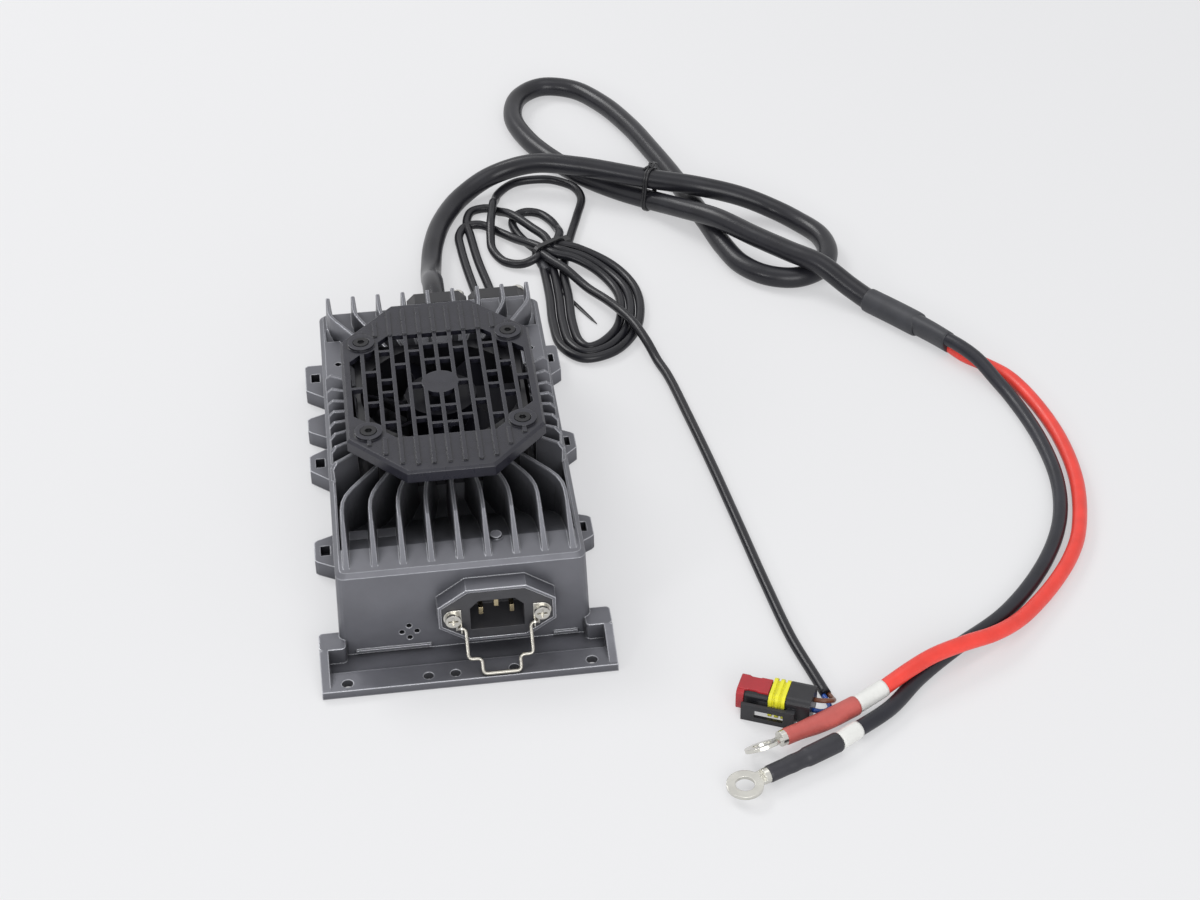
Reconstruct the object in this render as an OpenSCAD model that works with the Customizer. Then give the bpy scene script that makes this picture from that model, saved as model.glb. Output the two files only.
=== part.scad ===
// Sealed fan-cooled battery charger in a finned die-cast housing.
// Origin: middle of the footprint, on the face that rests. Front (mains inlet) looks to -Y.

/* [Housing] */
// Width of the casting at its foot
body_w = 115; // [100:1:140]
// Length of the casting at its foot
body_l = 211; // [206:1:240]
// Height of the flat deck between the fins
body_h = 48; // [46:0.5:60]
// Draft taken off each side over the height
draft = 1.4; // [0.5:0.1:2.5]
// Side and end wall at the foot
wall = 5; // [4:0.5:7]
// Radius of the upright corners
corner_r = 4; // [2:0.5:6]
// Bevel along the top edges
edge_bevel = 2; // [1:0.25:3]
// Height of the well floor under the fan
well_floor = 34; // [32:0.5:36]
// Thickness of the roof over the electronics
roof_t = 4; // [3:0.25:5]

/* [Fins] */
// Number of lengthwise fins
fin_count = 9; // [5:2:9]
// Spacing of the lengthwise fins
fin_pitch = 12.7; // [10:0.1:13]
// Height of the fin tops above the foot
fin_top = 57.5; // [54:0.5:62]
// Fin thickness at its top
fin_tip = 1.9; // [1.2:0.1:2.5]
// Fin thickness at the well floor
fin_foot = 5; // [3:0.1:6]
// Distance from the front face to the bend of the front fins
front_run = 45.5; // [40:0.5:48]
// Distance from the rear face to the bend of the rear fins
rear_run = 17.5; // [12:0.5:24]
// Number of crosswise fins on each side
side_fin_count = 8; // [5:1:9]

/* [Feet] */
// Distance that the flange and ears stand out beside the casting
flange_side = 9; // [8:0.5:14]
// Thickness of the flanges
flange_t = 4; // [3:0.25:6]
// Reach of the front flange beyond the front face
flange_out = 25.2; // [18:0.1:40]
// Reach of the rear ears beyond the rear face
rear_out = 9.5; // [4:0.5:14]
// Height of the side ears
ear_h = 8; // [6:0.5:10]
// Height of the corner blocks beside the front face
block_h = 11; // [9:0.5:14]
// Diameter of the mounting holes
foot_hole_d = 5; // [4:0.1:6]
// Distance of the outer mounting holes from the flange's sides
foot_hole_side = 11.5; // [9:0.5:18]

/* [Fan and grille] */
// Side of the square fan
fan_size = 80; // [76:1:82]
// Depth of the fan
fan_depth = 25; // [20:1:26]
// Spacing of the fan screws
fan_pitch = 71.5; // [68:0.1:72.5]
// Place of the fan along the body
fan_y = 3.8; // [0:0.1:6]
// Fan bore
fan_bore = 76; // [70:0.5:77]
// Fan hub diameter
hub_d = 34; // [30:0.5:38]
// Number of fan blades
blade_count = 7; // [5:1:9]
// Width of the grille
grille_w = 92; // [88:1:100]
// Length of the grille
grille_l = 135; // [124:1:140]
// Length of the straight front and rear edges of the grille
grille_flat = 40; // [30:1:50]
// Length of the straight side edges of the grille
grille_side = 79; // [70:1:84]
// Height of the grille's rim
grille_h = 6.3; // [5:0.1:8]
// Thickness of the grille plate
grille_t = 2.6; // [2:0.1:3.5]
// Spacing of the grille bars
bar_pitch = 7.15; // [6.5:0.05:7.6]
// Width of the grille bars
bar_w = 1.9; // [1.4:0.1:2.5]

/* [Mains inlet] */
// Place of the inlet across the front face
inlet_x = 14.3; // [-10:0.1:20]
// Height of the inlet's middle
inlet_z = 25.5; // [24.5:0.1:28]
// Spacing of the inlet screws
inlet_pitch = 40; // [38:0.5:42]
// Depth that the inlet boss stands proud of the foot of the front face
boss_reach = 7.3; // [5:0.1:9]
// Wire diameter of the plug bail
bail_wire = 2; // [1.6:0.1:2.4]
// Length of the bail from its pivot
bail_len = 21; // [18:0.5:21.5]

/* [Cable outlets] */
// Width of the output outlet block
dc_block_w = 31; // [28:0.5:33]
// Width of the signal outlet block
signal_block_w = 29.5; // [26:0.5:31]
// Thickness of the outlet blocks
block_t = 9; // [7:0.5:11]
// Diameter of the output cable
dc_d = 11.5; // [10:0.1:11.7]
// Diameter of the red and black leads
lead_d = 7.2; // [6:0.1:7.2]
// Diameter of the signal cables
signal_d = 5; // [4:0.1:5]

/* [Electronics] */
// Thickness of the main circuit board
board_t = 1.6; // [1.2:0.1:2.4]
// Room between the main circuit board and the side walls
board_room = 2.5; // [2:0.5:6]
// Room between the main circuit board and the end walls
board_end_room = 9.1; // [8.1:0.5:14]
// Height of the board's underside
board_z = 7; // [6.4:0.1:8]

/* [Hidden] */
$fn = 48;

// Overrun of every cut past the face it opens
over = 1;
// Clearance of a thread, of a sliding fit, of a screw hole and of a seat
snug = 0.1;
slip = 0.4;
free = 0.5;
seat_gap = 0.3;
// Half sizes of the casting
half_w = body_w / 2;
half_l = body_l / 2;
front_reach = half_l + flange_out;
rear_reach = half_l + rear_out;
flange_w = body_w + 2 * flange_side;
foot_pitch = flange_w - 2 * foot_hole_side;
front_bend = half_l - front_run;
rear_bend = half_l - rear_run;
// Facets of the drafted and swept shapes
arc_steps = 4;
cord_sides = 8;

// Corner arc of an outline, from angle a0 through a quarter turn
function corner_arc(cx, cy, r, a0) =
  [for (i = [0 : arc_steps])
    [cx + r * cos(a0 + 90 * i / arc_steps), cy + r * sin(a0 + 90 * i / arc_steps)]];

// Outline of a rectangle with rounded corners
function round_rect(w, l, r) = concat(
  corner_arc(w / 2 - r, l / 2 - r, r, 0),
  corner_arc(r - w / 2, l / 2 - r, r, 90),
  corner_arc(r - w / 2, r - l / 2, r, 180),
  corner_arc(w / 2 - r, r - l / 2, r, 270));

// Octagon with straight sides of lengths flat and side
function octagon(w, l, flat, side) = [
  [w / 2, side / 2], [flat / 2, l / 2], [-flat / 2, l / 2], [-w / 2, side / 2],
  [-w / 2, -side / 2], [-flat / 2, -l / 2], [flat / 2, -l / 2], [w / 2, -side / 2]];

// Rectangle of width w and height h with its two upper corners cut by c
function cut_top(w, h, c) = [
  [-w / 2, -h / 2], [w / 2, -h / 2], [w / 2, h / 2 - c],
  [w / 2 - c, h / 2], [c - w / 2, h / 2], [-w / 2, h / 2 - c]];

function unit(v) = v / norm(v);

function lerp(a, b, share) = a + (b - a) * share;

// Closed solid through a list of rings with equal counts of points
module skin(rings) {
  n = len(rings[0]);
  last = len(rings) - 1;
  points = [for (ring = rings) each ring];
  sides = [for (i = [0 : last - 1], j = [0 : n - 1])
    [i * n + j, (i + 1) * n + j, (i + 1) * n + (j + 1) % n, i * n + (j + 1) % n]];
  start_cap = [for (j = [0 : n - 1]) j];
  end_cap = [for (j = [n - 1 : -1 : 0]) last * n + j];
  polyhedron(points = points, faces = concat(sides, [start_cap, end_cap]), convexity = 10);
}

// Direction of travel at point i of a path
function heading(path, i) =
  unit(path[min(i + 1, len(path) - 1)] - path[max(i - 1, 0)]);

// Ring of points round a path's point, square to its direction t
function cord_ring(p, t, r, sides) =
  let (across = unit(cross(t, [0, 0, 1])), rise = cross(across, t))
  [for (j = [0 : sides - 1])
    let (a = 360 * (j + 0.5) / sides)
    p - across * r * cos(a) + rise * r * sin(a)];

// Round cord of diameter d along a path. The points before and after it only set its end faces.
module cord(path, d, sides = cord_sides, before = [], after = []) {
  run = concat(before, path, after);
  first = len(before);
  skin([for (i = [first : first + len(path) - 1])
    cord_ring(run[i], heading(run, i), d / 2, sides)]);
}

// Stroke of width w along a path, as an outline
function band(path, w) =
  let (last = len(path) - 1)
  let (sides = [for (i = [0 : last])
    let (t = heading(path, i))
    unit([-t[1], t[0]]) * w / 2])
  concat(
    [for (i = [0 : last]) [path[i][0], path[i][1]] + sides[i]],
    [for (i = [last : -1 : 0]) [path[i][0], path[i][1]] - sides[i]]);

// Stroke with round ends
module stroke(path, w) {
  polygon(band(path, w));
  for (p = [path[0], path[len(path) - 1]])
    translate([p[0], p[1]])
      circle(d = w);
}

// Moves a shape drawn upward so that it points out of the front (-Y)
module facing_front(x, y, z) {
  translate([x, y, z])
    rotate([90, 0, 0])
      children();
}

// Moves a shape drawn upward so that it points out of the rear (+Y)
module facing_rear(x, y, z) {
  translate([x, y, z])
    rotate([-90, 0, 0])
      children();
}

// Shared places
deck_w = body_w - 2 * draft;
deck_l = body_l - 2 * draft;
well_side = 4.5;
well_half_w = half_w - well_side;
well_front = front_bend + 26;
well_front_foot = front_bend - 8;
well_rear_foot = rear_bend - 30;
ceiling = well_floor - roof_t;
deck_ceiling = body_h - roof_t;
cover_t = 2;
cover_z = 0.5;
gasket_t = 1;
rebate_h = cover_z + cover_t + gasket_t;
rebate_in = 2.5;
cavity_w = body_w - 2 * wall;
cavity_l = body_l - 2 * wall - 2 * draft;
board_w = cavity_w - 2 * board_room;
board_l = cavity_l - 2 * board_end_room;

// Screw places of the cover
cover_screw_d = 3;
cover_boss_r = 3.5;
boss_in_wall = 1.2;
cover_boss_x = cavity_w / 2 - cover_boss_r + boss_in_wall;
cover_boss_y = [cavity_l / 2 - cover_boss_r + boss_in_wall, cavity_l / 6];

// Posts that carry the board
board_post_r = 3.5;
post_side = 10;
post_end = 12;
board_post_x = board_w / 2 - post_side;
board_post_y = board_l / 2 - post_end;
board_top = board_z + board_t;

// Fan seat
fan_post_r = 5;
fan_seat_z = 41;
fan_screw_d = 4;
fan_top_z = fan_seat_z + fan_depth;
fin_gap = 2.5;
fin_stop = fan_size / 2 + fin_gap;

// Inlet boss
boss_y = -half_l - boss_reach;
boss_w = 53;
boss_h = 30;
boss_flat = 27;
boss_side = 12;
boss_rim = 1.6;
pocket_d = 2.2;
inlet_hole_w = 28;
inlet_hole_h = 20.4;
inlet_screw_d = 4;

// Outlet pads on the rear wall
pad_rise = 0.5;
pad_y = half_l + pad_rise;
pad_drop = 0.6;
pad_top = body_h - pad_drop;
outlet_h = 34;
outlet_cut = 4;
dc_x = 4.8;
signal_x = 36;
outlet_z = pad_top - outlet_h / 2 - slip;
spigot_d = 16;
outlet_end = front_reach;
cable_z = 28;
signal_z = 24;
outlet_screw_d = 4;
outlet_screw_z = 12.5;
outlet_screw_x = 11.2;

// Bend of a path from a to c, turning at b, as points between them
function bend(a, b, c, n) =
  [for (i = [0 : n])
    let (t = i / n)
    a * (1 - t) * (1 - t) + b * 2 * t * (1 - t) + c * t * t];

// Thickness of a fin at height z
function fin_width(z) = fin_foot + (fin_tip - fin_foot) * (z - well_floor) / (fin_top - well_floor);

// Height of the floor between the fins at place y
function floor_z(y) =
  y < -well_front_foot ? min(body_h, lerp(well_floor, body_h, (-y - well_front_foot) / (well_front - well_front_foot)))
  : y > well_rear_foot ? min(body_h, lerp(well_floor, body_h, (y - well_rear_foot) / (rear_bend - well_rear_foot)))
  : well_floor;

// Section of a fin at plan point p, square to direction t, with its top at height top
fin_sink = 2.5;
fin_edge = 0.35;
function fin_section(p, t, top) =
  let (root = floor_z(p[1]) - fin_sink)
  let (side = [-t[1], t[0]], low = fin_width(root) / 2, high = fin_width(top) / 2)
  let (profile = [
    [low, root], [high, top - fin_edge], [high - fin_edge, top],
    [fin_edge - high, top], [-high, top - fin_edge], [-low, root]])
  [for (q = profile) [p[0] + side[0] * q[0], p[1] + side[1] * q[0], q[1]]];

// Fin through plan points with a top height at each
module fin(plan, tops) {
  skin([for (i = [0 : len(plan) - 1])
    let (t = heading(plan, i))
    fin_section(plan[i], t, tops[i])]);
}

// Place where a line from p towards the fan's middle meets the square round the fan
function fan_stop(p) =
  let (d = [0, fan_y] - p)
  p + d * (1 - fin_stop / max(abs(d[0]), abs(d[1])));

// Front fins run back from a sloping foot, turn at the bend and point at the fan
fin_bend_run = 9;
front_slope_y = front_bend + 17;
front_foot_in = 5.2;
front_foot_y = half_l - front_foot_in;
module front_fin(x) {
  corner = [x, -front_bend];
  stop = fan_stop(corner);
  turn = bend(corner - [0, fin_bend_run], corner, corner + unit(stop - corner) * fin_bend_run, 3);
  edge_share = (front_foot_y - well_front) / (front_foot_y - front_slope_y);
  plan = concat([[x, -front_foot_y], [x, -well_front], [x, -front_slope_y]], turn, [stop]);
  fin(plan, concat(
    [body_h - fin_edge, lerp(body_h, fin_top, edge_share), fin_top],
    [for (p = turn) fin_top], [fin_top]));
}

// Rear fins run to the rear wall at full height
rear_fin_y = half_l - draft - pad_drop;
module rear_fin(x) {
  corner = [x, rear_bend];
  stop = fan_stop(corner);
  run = fin_bend_run * 0.6;
  turn = bend(corner + [0, run], corner, corner + unit(stop - corner) * run, 3);
  plan = concat([[x, rear_fin_y], [x, rear_fin_y - fin_edge]], turn, [stop]);
  fin(plan, concat([fin_top - 2 * fin_edge, fin_top], [for (p = turn) fin_top], [fin_top]));
}

// Side fins lie on rays from the fan's middle
side_fin_in = 2;
side_fin_end = half_w - draft - side_fin_in;
side_fin_drop = 2.5;
side_first_angle = 32;
side_last_angle = -35.5;
module side_fin(angle, side) {
  d = [cos(angle) * side, sin(angle)];
  inner = fin_stop / max(cos(angle), abs(sin(angle)));
  outer = side_fin_end / cos(angle);
  plan = [
    [0, fan_y] + d * outer,
    [0, fan_y] + d * (outer - side_fin_drop),
    [0, fan_y] + d * inner];
  fin(plan, [fin_top - side_fin_drop, fin_top, fin_top]);
}

// Body of the casting with draft and bevelled top edges
function lifted(outline, z) = [for (q = outline) [q[0], q[1], z]];
module drafted_block() {
  top_w = deck_w - 2 * edge_bevel;
  top_l = deck_l - 2 * edge_bevel;
  skin([
    lifted(round_rect(body_w, body_l, corner_r), 0),
    lifted(round_rect(deck_w, deck_l, corner_r), body_h - edge_bevel),
    lifted(round_rect(top_w, top_l, corner_r - edge_bevel / 2), body_h)]);
}

// Prism along X from a profile in Y and Z
module along_x(profile, w) {
  translate([-w / 2, 0, 0])
    rotate([90, 0, 90])
      linear_extrude(height = w)
        polygon(profile);
}

module well_cut() {
  lid = body_h + fin_top;
  along_x([
    [-well_front, body_h], [-well_front_foot, well_floor], [well_rear_foot, well_floor],
    [rear_bend, body_h], [rear_bend, lid], [-well_front, lid]], 2 * well_half_w);
}

module cavity_cut() {
  end = cavity_l / 2;
  along_x([
    [-end, rebate_h - over], [-end, deck_ceiling], [-well_front - roof_t / 2, deck_ceiling],
    [-well_front_foot - roof_t / 2, ceiling], [well_rear_foot + roof_t / 2, ceiling],
    [rear_bend + roof_t / 2, deck_ceiling], [end, deck_ceiling], [end, rebate_h - over]],
    cavity_w);
  translate([0, 0, -over])
    linear_extrude(height = rebate_h + over)
      polygon(round_rect(body_w - 2 * rebate_in, body_l - 2 * rebate_in, corner_r / 2));
}

// Bosses and posts inside the casting
module inner_posts() {
  for (sx = [-1, 1], y = cover_boss_y, sy = [-1, 1])
    translate([sx * cover_boss_x, sy * y, rebate_h])
      cylinder(h = ceiling, r = cover_boss_r);
  for (sx = [-1, 1], y = [-board_post_y, 0, board_post_y])
    translate([sx * board_post_x, y, board_top])
      cylinder(h = deck_ceiling - board_top, r = board_post_r);
}

// Ears along the sides: start of the root, start and end of the tip, end of the root
ear_tip_in = 1.5;
rear_ear_l = 21.5;
ear_slope = 8;
rear_ear = [half_l - rear_ear_l, half_l - rear_ear_l + ear_slope, rear_reach, rear_reach];
middle_ear_shares = [0.142, 0.228, 0.36, 0.417];
front_ear_shares = [-0.483, -0.427, -0.275, -0.237];
left_ear_shares = [0.474, 0.54, 0.654, 0.692];
middle_ear = half_l * middle_ear_shares;
front_ear = half_l * front_ear_shares;
left_ear = half_l * left_ear_shares;
module ear(e, side) {
  reach = flange_w / 2;
  root = half_w - wall / 2;
  scale([side, 1, 1])
    linear_extrude(height = ear_h)
      polygon([
        [root, e[0]], [reach - ear_tip_in, e[1]], [reach, e[1] + ear_tip_in],
        [reach, e[2] - ear_tip_in], [reach - ear_tip_in, e[2]], [root, e[3]]]);
}

pocket_l = 7;
pocket_in = 1.6;
pocket_w = 4.4;
pocket_deep = 5;
module ear_pocket(e, side) {
  translate([side * (half_w + pocket_in + pocket_w / 2), (e[1] + e[2]) / 2, ear_h])
    cube([pocket_w, pocket_l, 2 * pocket_deep], center = true);
}

// Front flange with a gutter, sloping side ribs and blocks beside the face
gutter_in = 12.4;
gutter_y = front_reach - gutter_in;
gutter_deep = 1.5;
rib_w = 4;
rib_out = 5;
rib_root = half_l + rib_out;
block_l = 11.5;
block_back = rib_root - block_l;
block_in = 12;
module front_flange() {
  depth = front_reach - half_l + over;
  difference() {
    translate([-flange_w / 2, -front_reach, 0])
      cube([flange_w, depth, flange_t]);
    translate([rib_w - flange_w / 2, -gutter_y, flange_t - gutter_deep])
      cube([flange_w - 2 * rib_w, gutter_y, flange_t]);
  }
  for (sx = [-1, 1]) {
    translate([sx * (flange_w - rib_w) / 2, 0, 0])
      along_x([
        [-front_reach + ear_tip_in, 0], [-rib_root, 0], [-rib_root, block_h],
        [-front_reach + ear_tip_in, flange_t]], rib_w);
    translate([sx * (flange_w - block_in) / 2, -(rib_root + block_back) / 2, 0])
      linear_extrude(height = block_h)
        polygon(round_rect(block_in, rib_root - block_back, corner_r / 2));
  }
}

// Beads along the foot of the front face
bead_z = 4.4;
bead_h = 1.4;
bead_out = 0.9;
bead_shares = [[-0.87, -0.278], [0.696, 0.887]];
bead_runs = half_w * bead_shares;
module foot_beads() {
  for (b = bead_runs)
    translate([b[0], -half_l - bead_out, bead_z - bead_h / 2])
      cube([b[1] - b[0], wall, bead_h]);
}

// Octagonal boss round the mains inlet, open at its face
module inlet_boss() {
  facing_front(inlet_x, -half_l + wall, inlet_z)
    linear_extrude(height = boss_reach + wall)
      polygon(octagon(boss_w, boss_h, boss_flat, boss_side));
}

pad_margin = 1.5;
module outlet_pad() {
  pad_left = dc_x - dc_block_w / 2 - pad_margin;
  pad_right = signal_x + signal_block_w / 2 + pad_margin;
  translate([pad_left, half_l - wall, pad_top - outlet_h - pad_margin])
    cube([pad_right - pad_left, pad_y - half_l + wall, outlet_h + pad_margin]);
}

// Flat pads in the rear corners of the well
well_pad_w = 10;
well_pad_l = 33;
well_pad_end = rear_bend - well_pad_w;
well_pad_start = well_pad_end - well_pad_l;
well_pad_hole = 3;
well_pad_hole_in = 13;
well_pad_hole_deep = 4;
well_pad_root = ceiling + roof_t / 4;
module well_pads() {
  for (sx = [-1, 1])
    difference() {
      translate([sx * (well_half_w - well_pad_w / 2 + over / 2), (well_pad_start + well_pad_end) / 2,
        (well_pad_root + body_h) / 2])
        cube([well_pad_w + over, well_pad_end - well_pad_start, body_h - well_pad_root], center = true);
      translate([sx * (well_half_w - well_pad_w / 2), well_pad_start + well_pad_hole_in,
        body_h - well_pad_hole_deep])
        cylinder(h = well_pad_hole_deep + over, d = well_pad_hole);
    }
}

// Ledges and a round boss on the sloping floor between the front fins
ledge_gap = 6.5;
ledge_y = front_bend + ledge_gap;
ledge_h = 1.6;
ledge_l = 6;
ledge_drop = 9.2;
deck_boss_d = 5.4;
deck_boss_h = 1.4;
deck_boss_share = 1.35;
module floor_marks() {
  for (k = [-3.5, -2.5])
    translate([k * fin_pitch, -ledge_y - ledge_l / 2, body_h - ledge_drop])
      cube([fin_pitch - fin_foot + over, ledge_l, ledge_l + ledge_h], center = true);
  translate([fin_pitch * deck_boss_share, -well_front, deck_ceiling])
    cylinder(h = roof_t + deck_boss_h, d = deck_boss_d);
}

// Diamond of four breather holes low on the front face
vent_x = -25.4;
vent_z = 12.8;
vent_r = 3.4;
vent_d = 2.4;
module vent_holes() {
  for (a = [0 : 90 : 270])
    facing_front(vent_x + vent_r * cos(a), -half_l + wall + draft + over, vent_z + vent_r * sin(a))
      cylinder(h = 2 * wall + over, d = vent_d);
}

inner_hole_shares = [-0.34, -0.12, 0.36];
inner_hole_d = foot_hole_d * 0.9;
foot_holes = concat(
  [[-foot_pitch / 2, foot_hole_d], [foot_pitch / 2, foot_hole_d]],
  [for (share = inner_hole_shares) [foot_pitch / 2 * share, inner_hole_d]]);
foot_hole_in = 4.7;
foot_hole_y = front_reach - foot_hole_in;
fan_screw_floor = 1.2;
cover_hole_deep = 13;
board_hole_deep = 12;
inlet_tap = 2;

module housing_holes() {
  for (h = foot_holes)
    translate([h[0], -foot_hole_y, -over])
      cylinder(h = flange_t + 2 * over, d = h[1]);
  for (sx = [-1, 1], e = [rear_ear, middle_ear, front_ear])
    ear_pocket(e, sx);
  for (sx = [-1, 1], sy = [-1, 1])
    translate([sx * fan_pitch / 2, fan_y + sy * fan_pitch / 2, ceiling + fan_screw_floor])
      cylinder(h = fan_seat_z, d = fan_screw_d + snug);
  for (sx = [-1, 1], y = cover_boss_y, sy = [-1, 1])
    translate([sx * cover_boss_x, sy * y, 0])
      cylinder(h = cover_hole_deep, d = cover_screw_d + snug);
  for (sx = [-1, 1], y = [-board_post_y, 0, board_post_y])
    translate([sx * board_post_x, y, board_z])
      cylinder(h = board_hole_deep, d = cover_screw_d + snug);
  facing_front(inlet_x, boss_y + pocket_d, inlet_z)
    linear_extrude(height = pocket_d + over)
      polygon(octagon(boss_w - 2 * boss_rim, boss_h - 2 * boss_rim, boss_flat - boss_rim, boss_side - boss_rim));
  translate([inlet_x - inlet_hole_w / 2, boss_y - over, inlet_z - inlet_hole_h / 2])
    cube([inlet_hole_w, boss_reach + 2 * wall + 2 * over, inlet_hole_h]);
  for (sx = [-1, 1])
    facing_front(inlet_x + sx * inlet_pitch / 2, -half_l + inlet_tap, inlet_z)
      cylinder(h = boss_reach + inlet_tap, d = inlet_screw_d + snug);
  vent_holes();
  for (x = [dc_x, signal_x])
    facing_rear(x, cavity_l / 2 - over, cable_of(x))
      cylinder(h = 2 * wall + 2 * over, d = spigot_d + slip);
  for (x = [dc_x, signal_x], s = [-1, 1])
    facing_rear(x + s * outlet_screw_x, half_l - wall + over, outlet_z + s * outlet_screw_z)
      cylinder(h = wall + over, d = outlet_screw_d + snug);
  translate([fan_lead_x, fan_lead_y, ceiling - over])
    cylinder(h = roof_t + 2 * over, d = grommet_d);
}

// Height of the cable outlet at place x
function cable_of(x) = x == dc_x ? cable_z : signal_z;

fan_lead_r = 27;
fan_lead_out = fan_lead_r * sin(45);
fan_lead_x = -fan_lead_out;
fan_lead_y = fan_y - fan_lead_out;
fan_lead_d = 2.8;
grommet_d = 6;

module housing() {
  color("dimgray") {
    difference() {
      union() {
        difference() {
          union() {
            difference() {
              union() {
                drafted_block();
                inlet_boss();
                outlet_pad();
                front_flange();
                foot_beads();
                for (sx = [-1, 1], e = [rear_ear, middle_ear, front_ear])
                  ear(e, sx);
                ear(left_ear, -1);
              }
              cavity_cut();
            }
            inner_posts();
          }
          well_cut();
        }
        intersection() {
          union() {
            for (k = [-(fin_count - 1) / 2 : (fin_count - 1) / 2]) {
              front_fin(k * fin_pitch);
              rear_fin(k * fin_pitch);
            }
            for (side = [-1, 1], i = [0 : side_fin_count - 1])
              side_fin(lerp(side_first_angle, side_last_angle, i / (side_fin_count - 1)), side);
            well_pads();
            floor_marks();
          }
          translate([-half_w, -half_l, ceiling])
            cube([body_w, body_l, fin_top]);
        }
        for (sx = [-1, 1], sy = [-1, 1])
          translate([sx * fan_pitch / 2, fan_y + sy * fan_pitch / 2, well_floor - 1])
            cylinder(h = fan_seat_z - well_floor + 1, r = fan_post_r);
      }
      housing_holes();
    }
  }
}

module bottom_cover() {
  w = body_w - 2 * rebate_in - 2 * seat_gap;
  l = body_l - 2 * rebate_in - 2 * seat_gap;
  color("silver")
    difference() {
      translate([0, 0, cover_z])
        linear_extrude(height = cover_t)
          polygon(round_rect(w, l, corner_r / 2));
      for (sx = [-1, 1], y = cover_boss_y, sy = [-1, 1])
        translate([sx * cover_boss_x, sy * y, cover_z]) {
          translate([0, 0, -over])
            cylinder(h = cover_t + 2 * over, d = cover_screw_d + slip);
          cylinder(h = screw_cone_h, d1 = screw_head_d, d2 = cover_screw_d + slip);
        }
    }
}

module cover_gasket() {
  outer_w = body_w - 2 * rebate_in - 2 * free;
  outer_l = body_l - 2 * rebate_in - 2 * free;
  color("black")
    translate([0, 0, cover_z + cover_t])
      linear_extrude(height = gasket_t)
        difference() {
          polygon(round_rect(outer_w, outer_l, corner_r / 2));
          polygon(round_rect(cavity_w + 2 * seat_gap, cavity_l + 2 * seat_gap, corner_r / 2));
        }
}

screw_head_d = 6;
screw_cone_h = 1.6;
cover_key_deep = 1;
cover_key_d = 2;
cover_screw_l = 9;
module cover_screws() {
  color("gainsboro")
    for (sx = [-1, 1], y = cover_boss_y, sy = [-1, 1])
      translate([sx * cover_boss_x, sy * y, cover_z]) {
        difference() {
          cylinder(h = screw_cone_h, d1 = screw_head_d, d2 = cover_screw_d);
          cylinder(h = cover_key_deep, d = cover_key_d, $fn = 6);
        }
        translate([0, 0, screw_cone_h])
          cylinder(h = cover_screw_l, d = cover_screw_d);
      }
}

// Fan frame: shroud, flanges, motor seat on struts and a bearing tube
fan_flange_t = 4;
strut_h = 3.5;
strut_w = 4;
shroud_t = 1.5;
bearing_low = 7;
bearing_floor = 1;
bearing_r = 1.55;
bearing_out_r = 4;
module fan_frame() {
  color([0.12, 0.12, 0.13])
    translate([0, fan_y, fan_seat_z])
      difference() {
        union() {
          difference() {
            union() {
              for (z = [0, fan_depth - fan_flange_t])
                translate([0, 0, z])
                  linear_extrude(height = fan_flange_t)
                    polygon(round_rect(fan_size, fan_size, corner_r));
              cylinder(h = fan_depth, d = fan_bore + 2 * shroud_t);
            }
            translate([0, 0, -over])
              cylinder(h = fan_depth + 2 * over, d = fan_bore);
          }
          cylinder(h = strut_h, d = hub_d);
          for (a = [45 : 90 : 315])
            rotate([0, 0, a])
              translate([hub_d / 2 - over, -strut_w / 2, 0])
                cube([(fan_bore - hub_d) / 2 + 2 * over, strut_w, strut_h]);
          cylinder(h = fan_depth - bearing_low, r = bearing_out_r);
        }
        translate([0, 0, bearing_floor])
          cylinder(h = fan_depth, r = bearing_r);
        for (sx = [-1, 1], sy = [-1, 1])
          translate([sx * fan_pitch / 2, sy * fan_pitch / 2, -over])
            cylinder(h = fan_depth + 2 * over, d = fan_screw_d + free);
      }
}

// Fan rotor: cup with a shaft and pitched blades
rotor_gap = 0.6;
rotor_top_in = 1.6;
rotor_low = fan_seat_z + strut_h + rotor_gap;
rotor_high = fan_top_z - rotor_top_in;
rotor_wall = 2;
shaft_r = 1.5;
shaft_in = 1;
blade_t = 1.2;
blade_gap = 1.2;
blade_span = fan_bore / 2 - blade_gap;
blade_chord = 20;
blade_pitch = 38;
module fan_rotor() {
  mid_z = (rotor_low + rotor_high) / 2;
  color([0.16, 0.16, 0.17])
    translate([0, fan_y, 0]) {
      difference() {
        union() {
          translate([0, 0, rotor_low])
            cylinder(h = rotor_high - rotor_low, d = hub_d);
          intersection() {
            translate([0, 0, rotor_low])
              cylinder(h = rotor_high - rotor_low, r = blade_span);
            for (i = [0 : blade_count - 1])
              rotate([0, 0, 360 * i / blade_count])
                translate([blade_span / 2 + hub_d / 6, 0, mid_z])
                  rotate([blade_pitch, 0, 0])
                    cube([blade_span - hub_d / 3 + over, blade_chord, blade_t], center = true);
          }
        }
        translate([0, 0, rotor_low - over])
          cylinder(h = rotor_high - rotor_low - rotor_wall + over, d = hub_d - 2 * rotor_wall);
      }
      translate([0, 0, fan_seat_z + strut_h - shaft_in])
        cylinder(h = rotor_high - fan_seat_z - strut_h, r = shaft_r);
    }
}

module fan_stator() {
  color("peru")
    translate([0, fan_y, fan_seat_z + strut_h])
      difference() {
        cylinder(h = fan_depth / 2 - free, d = hub_d - 2 * rotor_wall - 4 * free);
        translate([0, 0, -over])
          cylinder(h = fan_depth, r = bearing_out_r);
      }
}

// Grille: eight-sided cap with bars, ring-like links and a hub disc
grille_shift = 0.3;
grille_rise = 5.8;
grille_y = fan_y - grille_shift;
grille_top = fan_top_z + grille_rise;
rim_t = 2;
opening_w = 84;
opening_l = 82;
opening_cut = 19;
grille_hub_d = 17.5;
screw_pad_d = 13;
screw_pad_h = 1.2;
screw_pad_rim = 1.5;
band_margin = 5;
band_rib_h = 0.8;
link_w = 1.5;
bar_count = 5;
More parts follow.
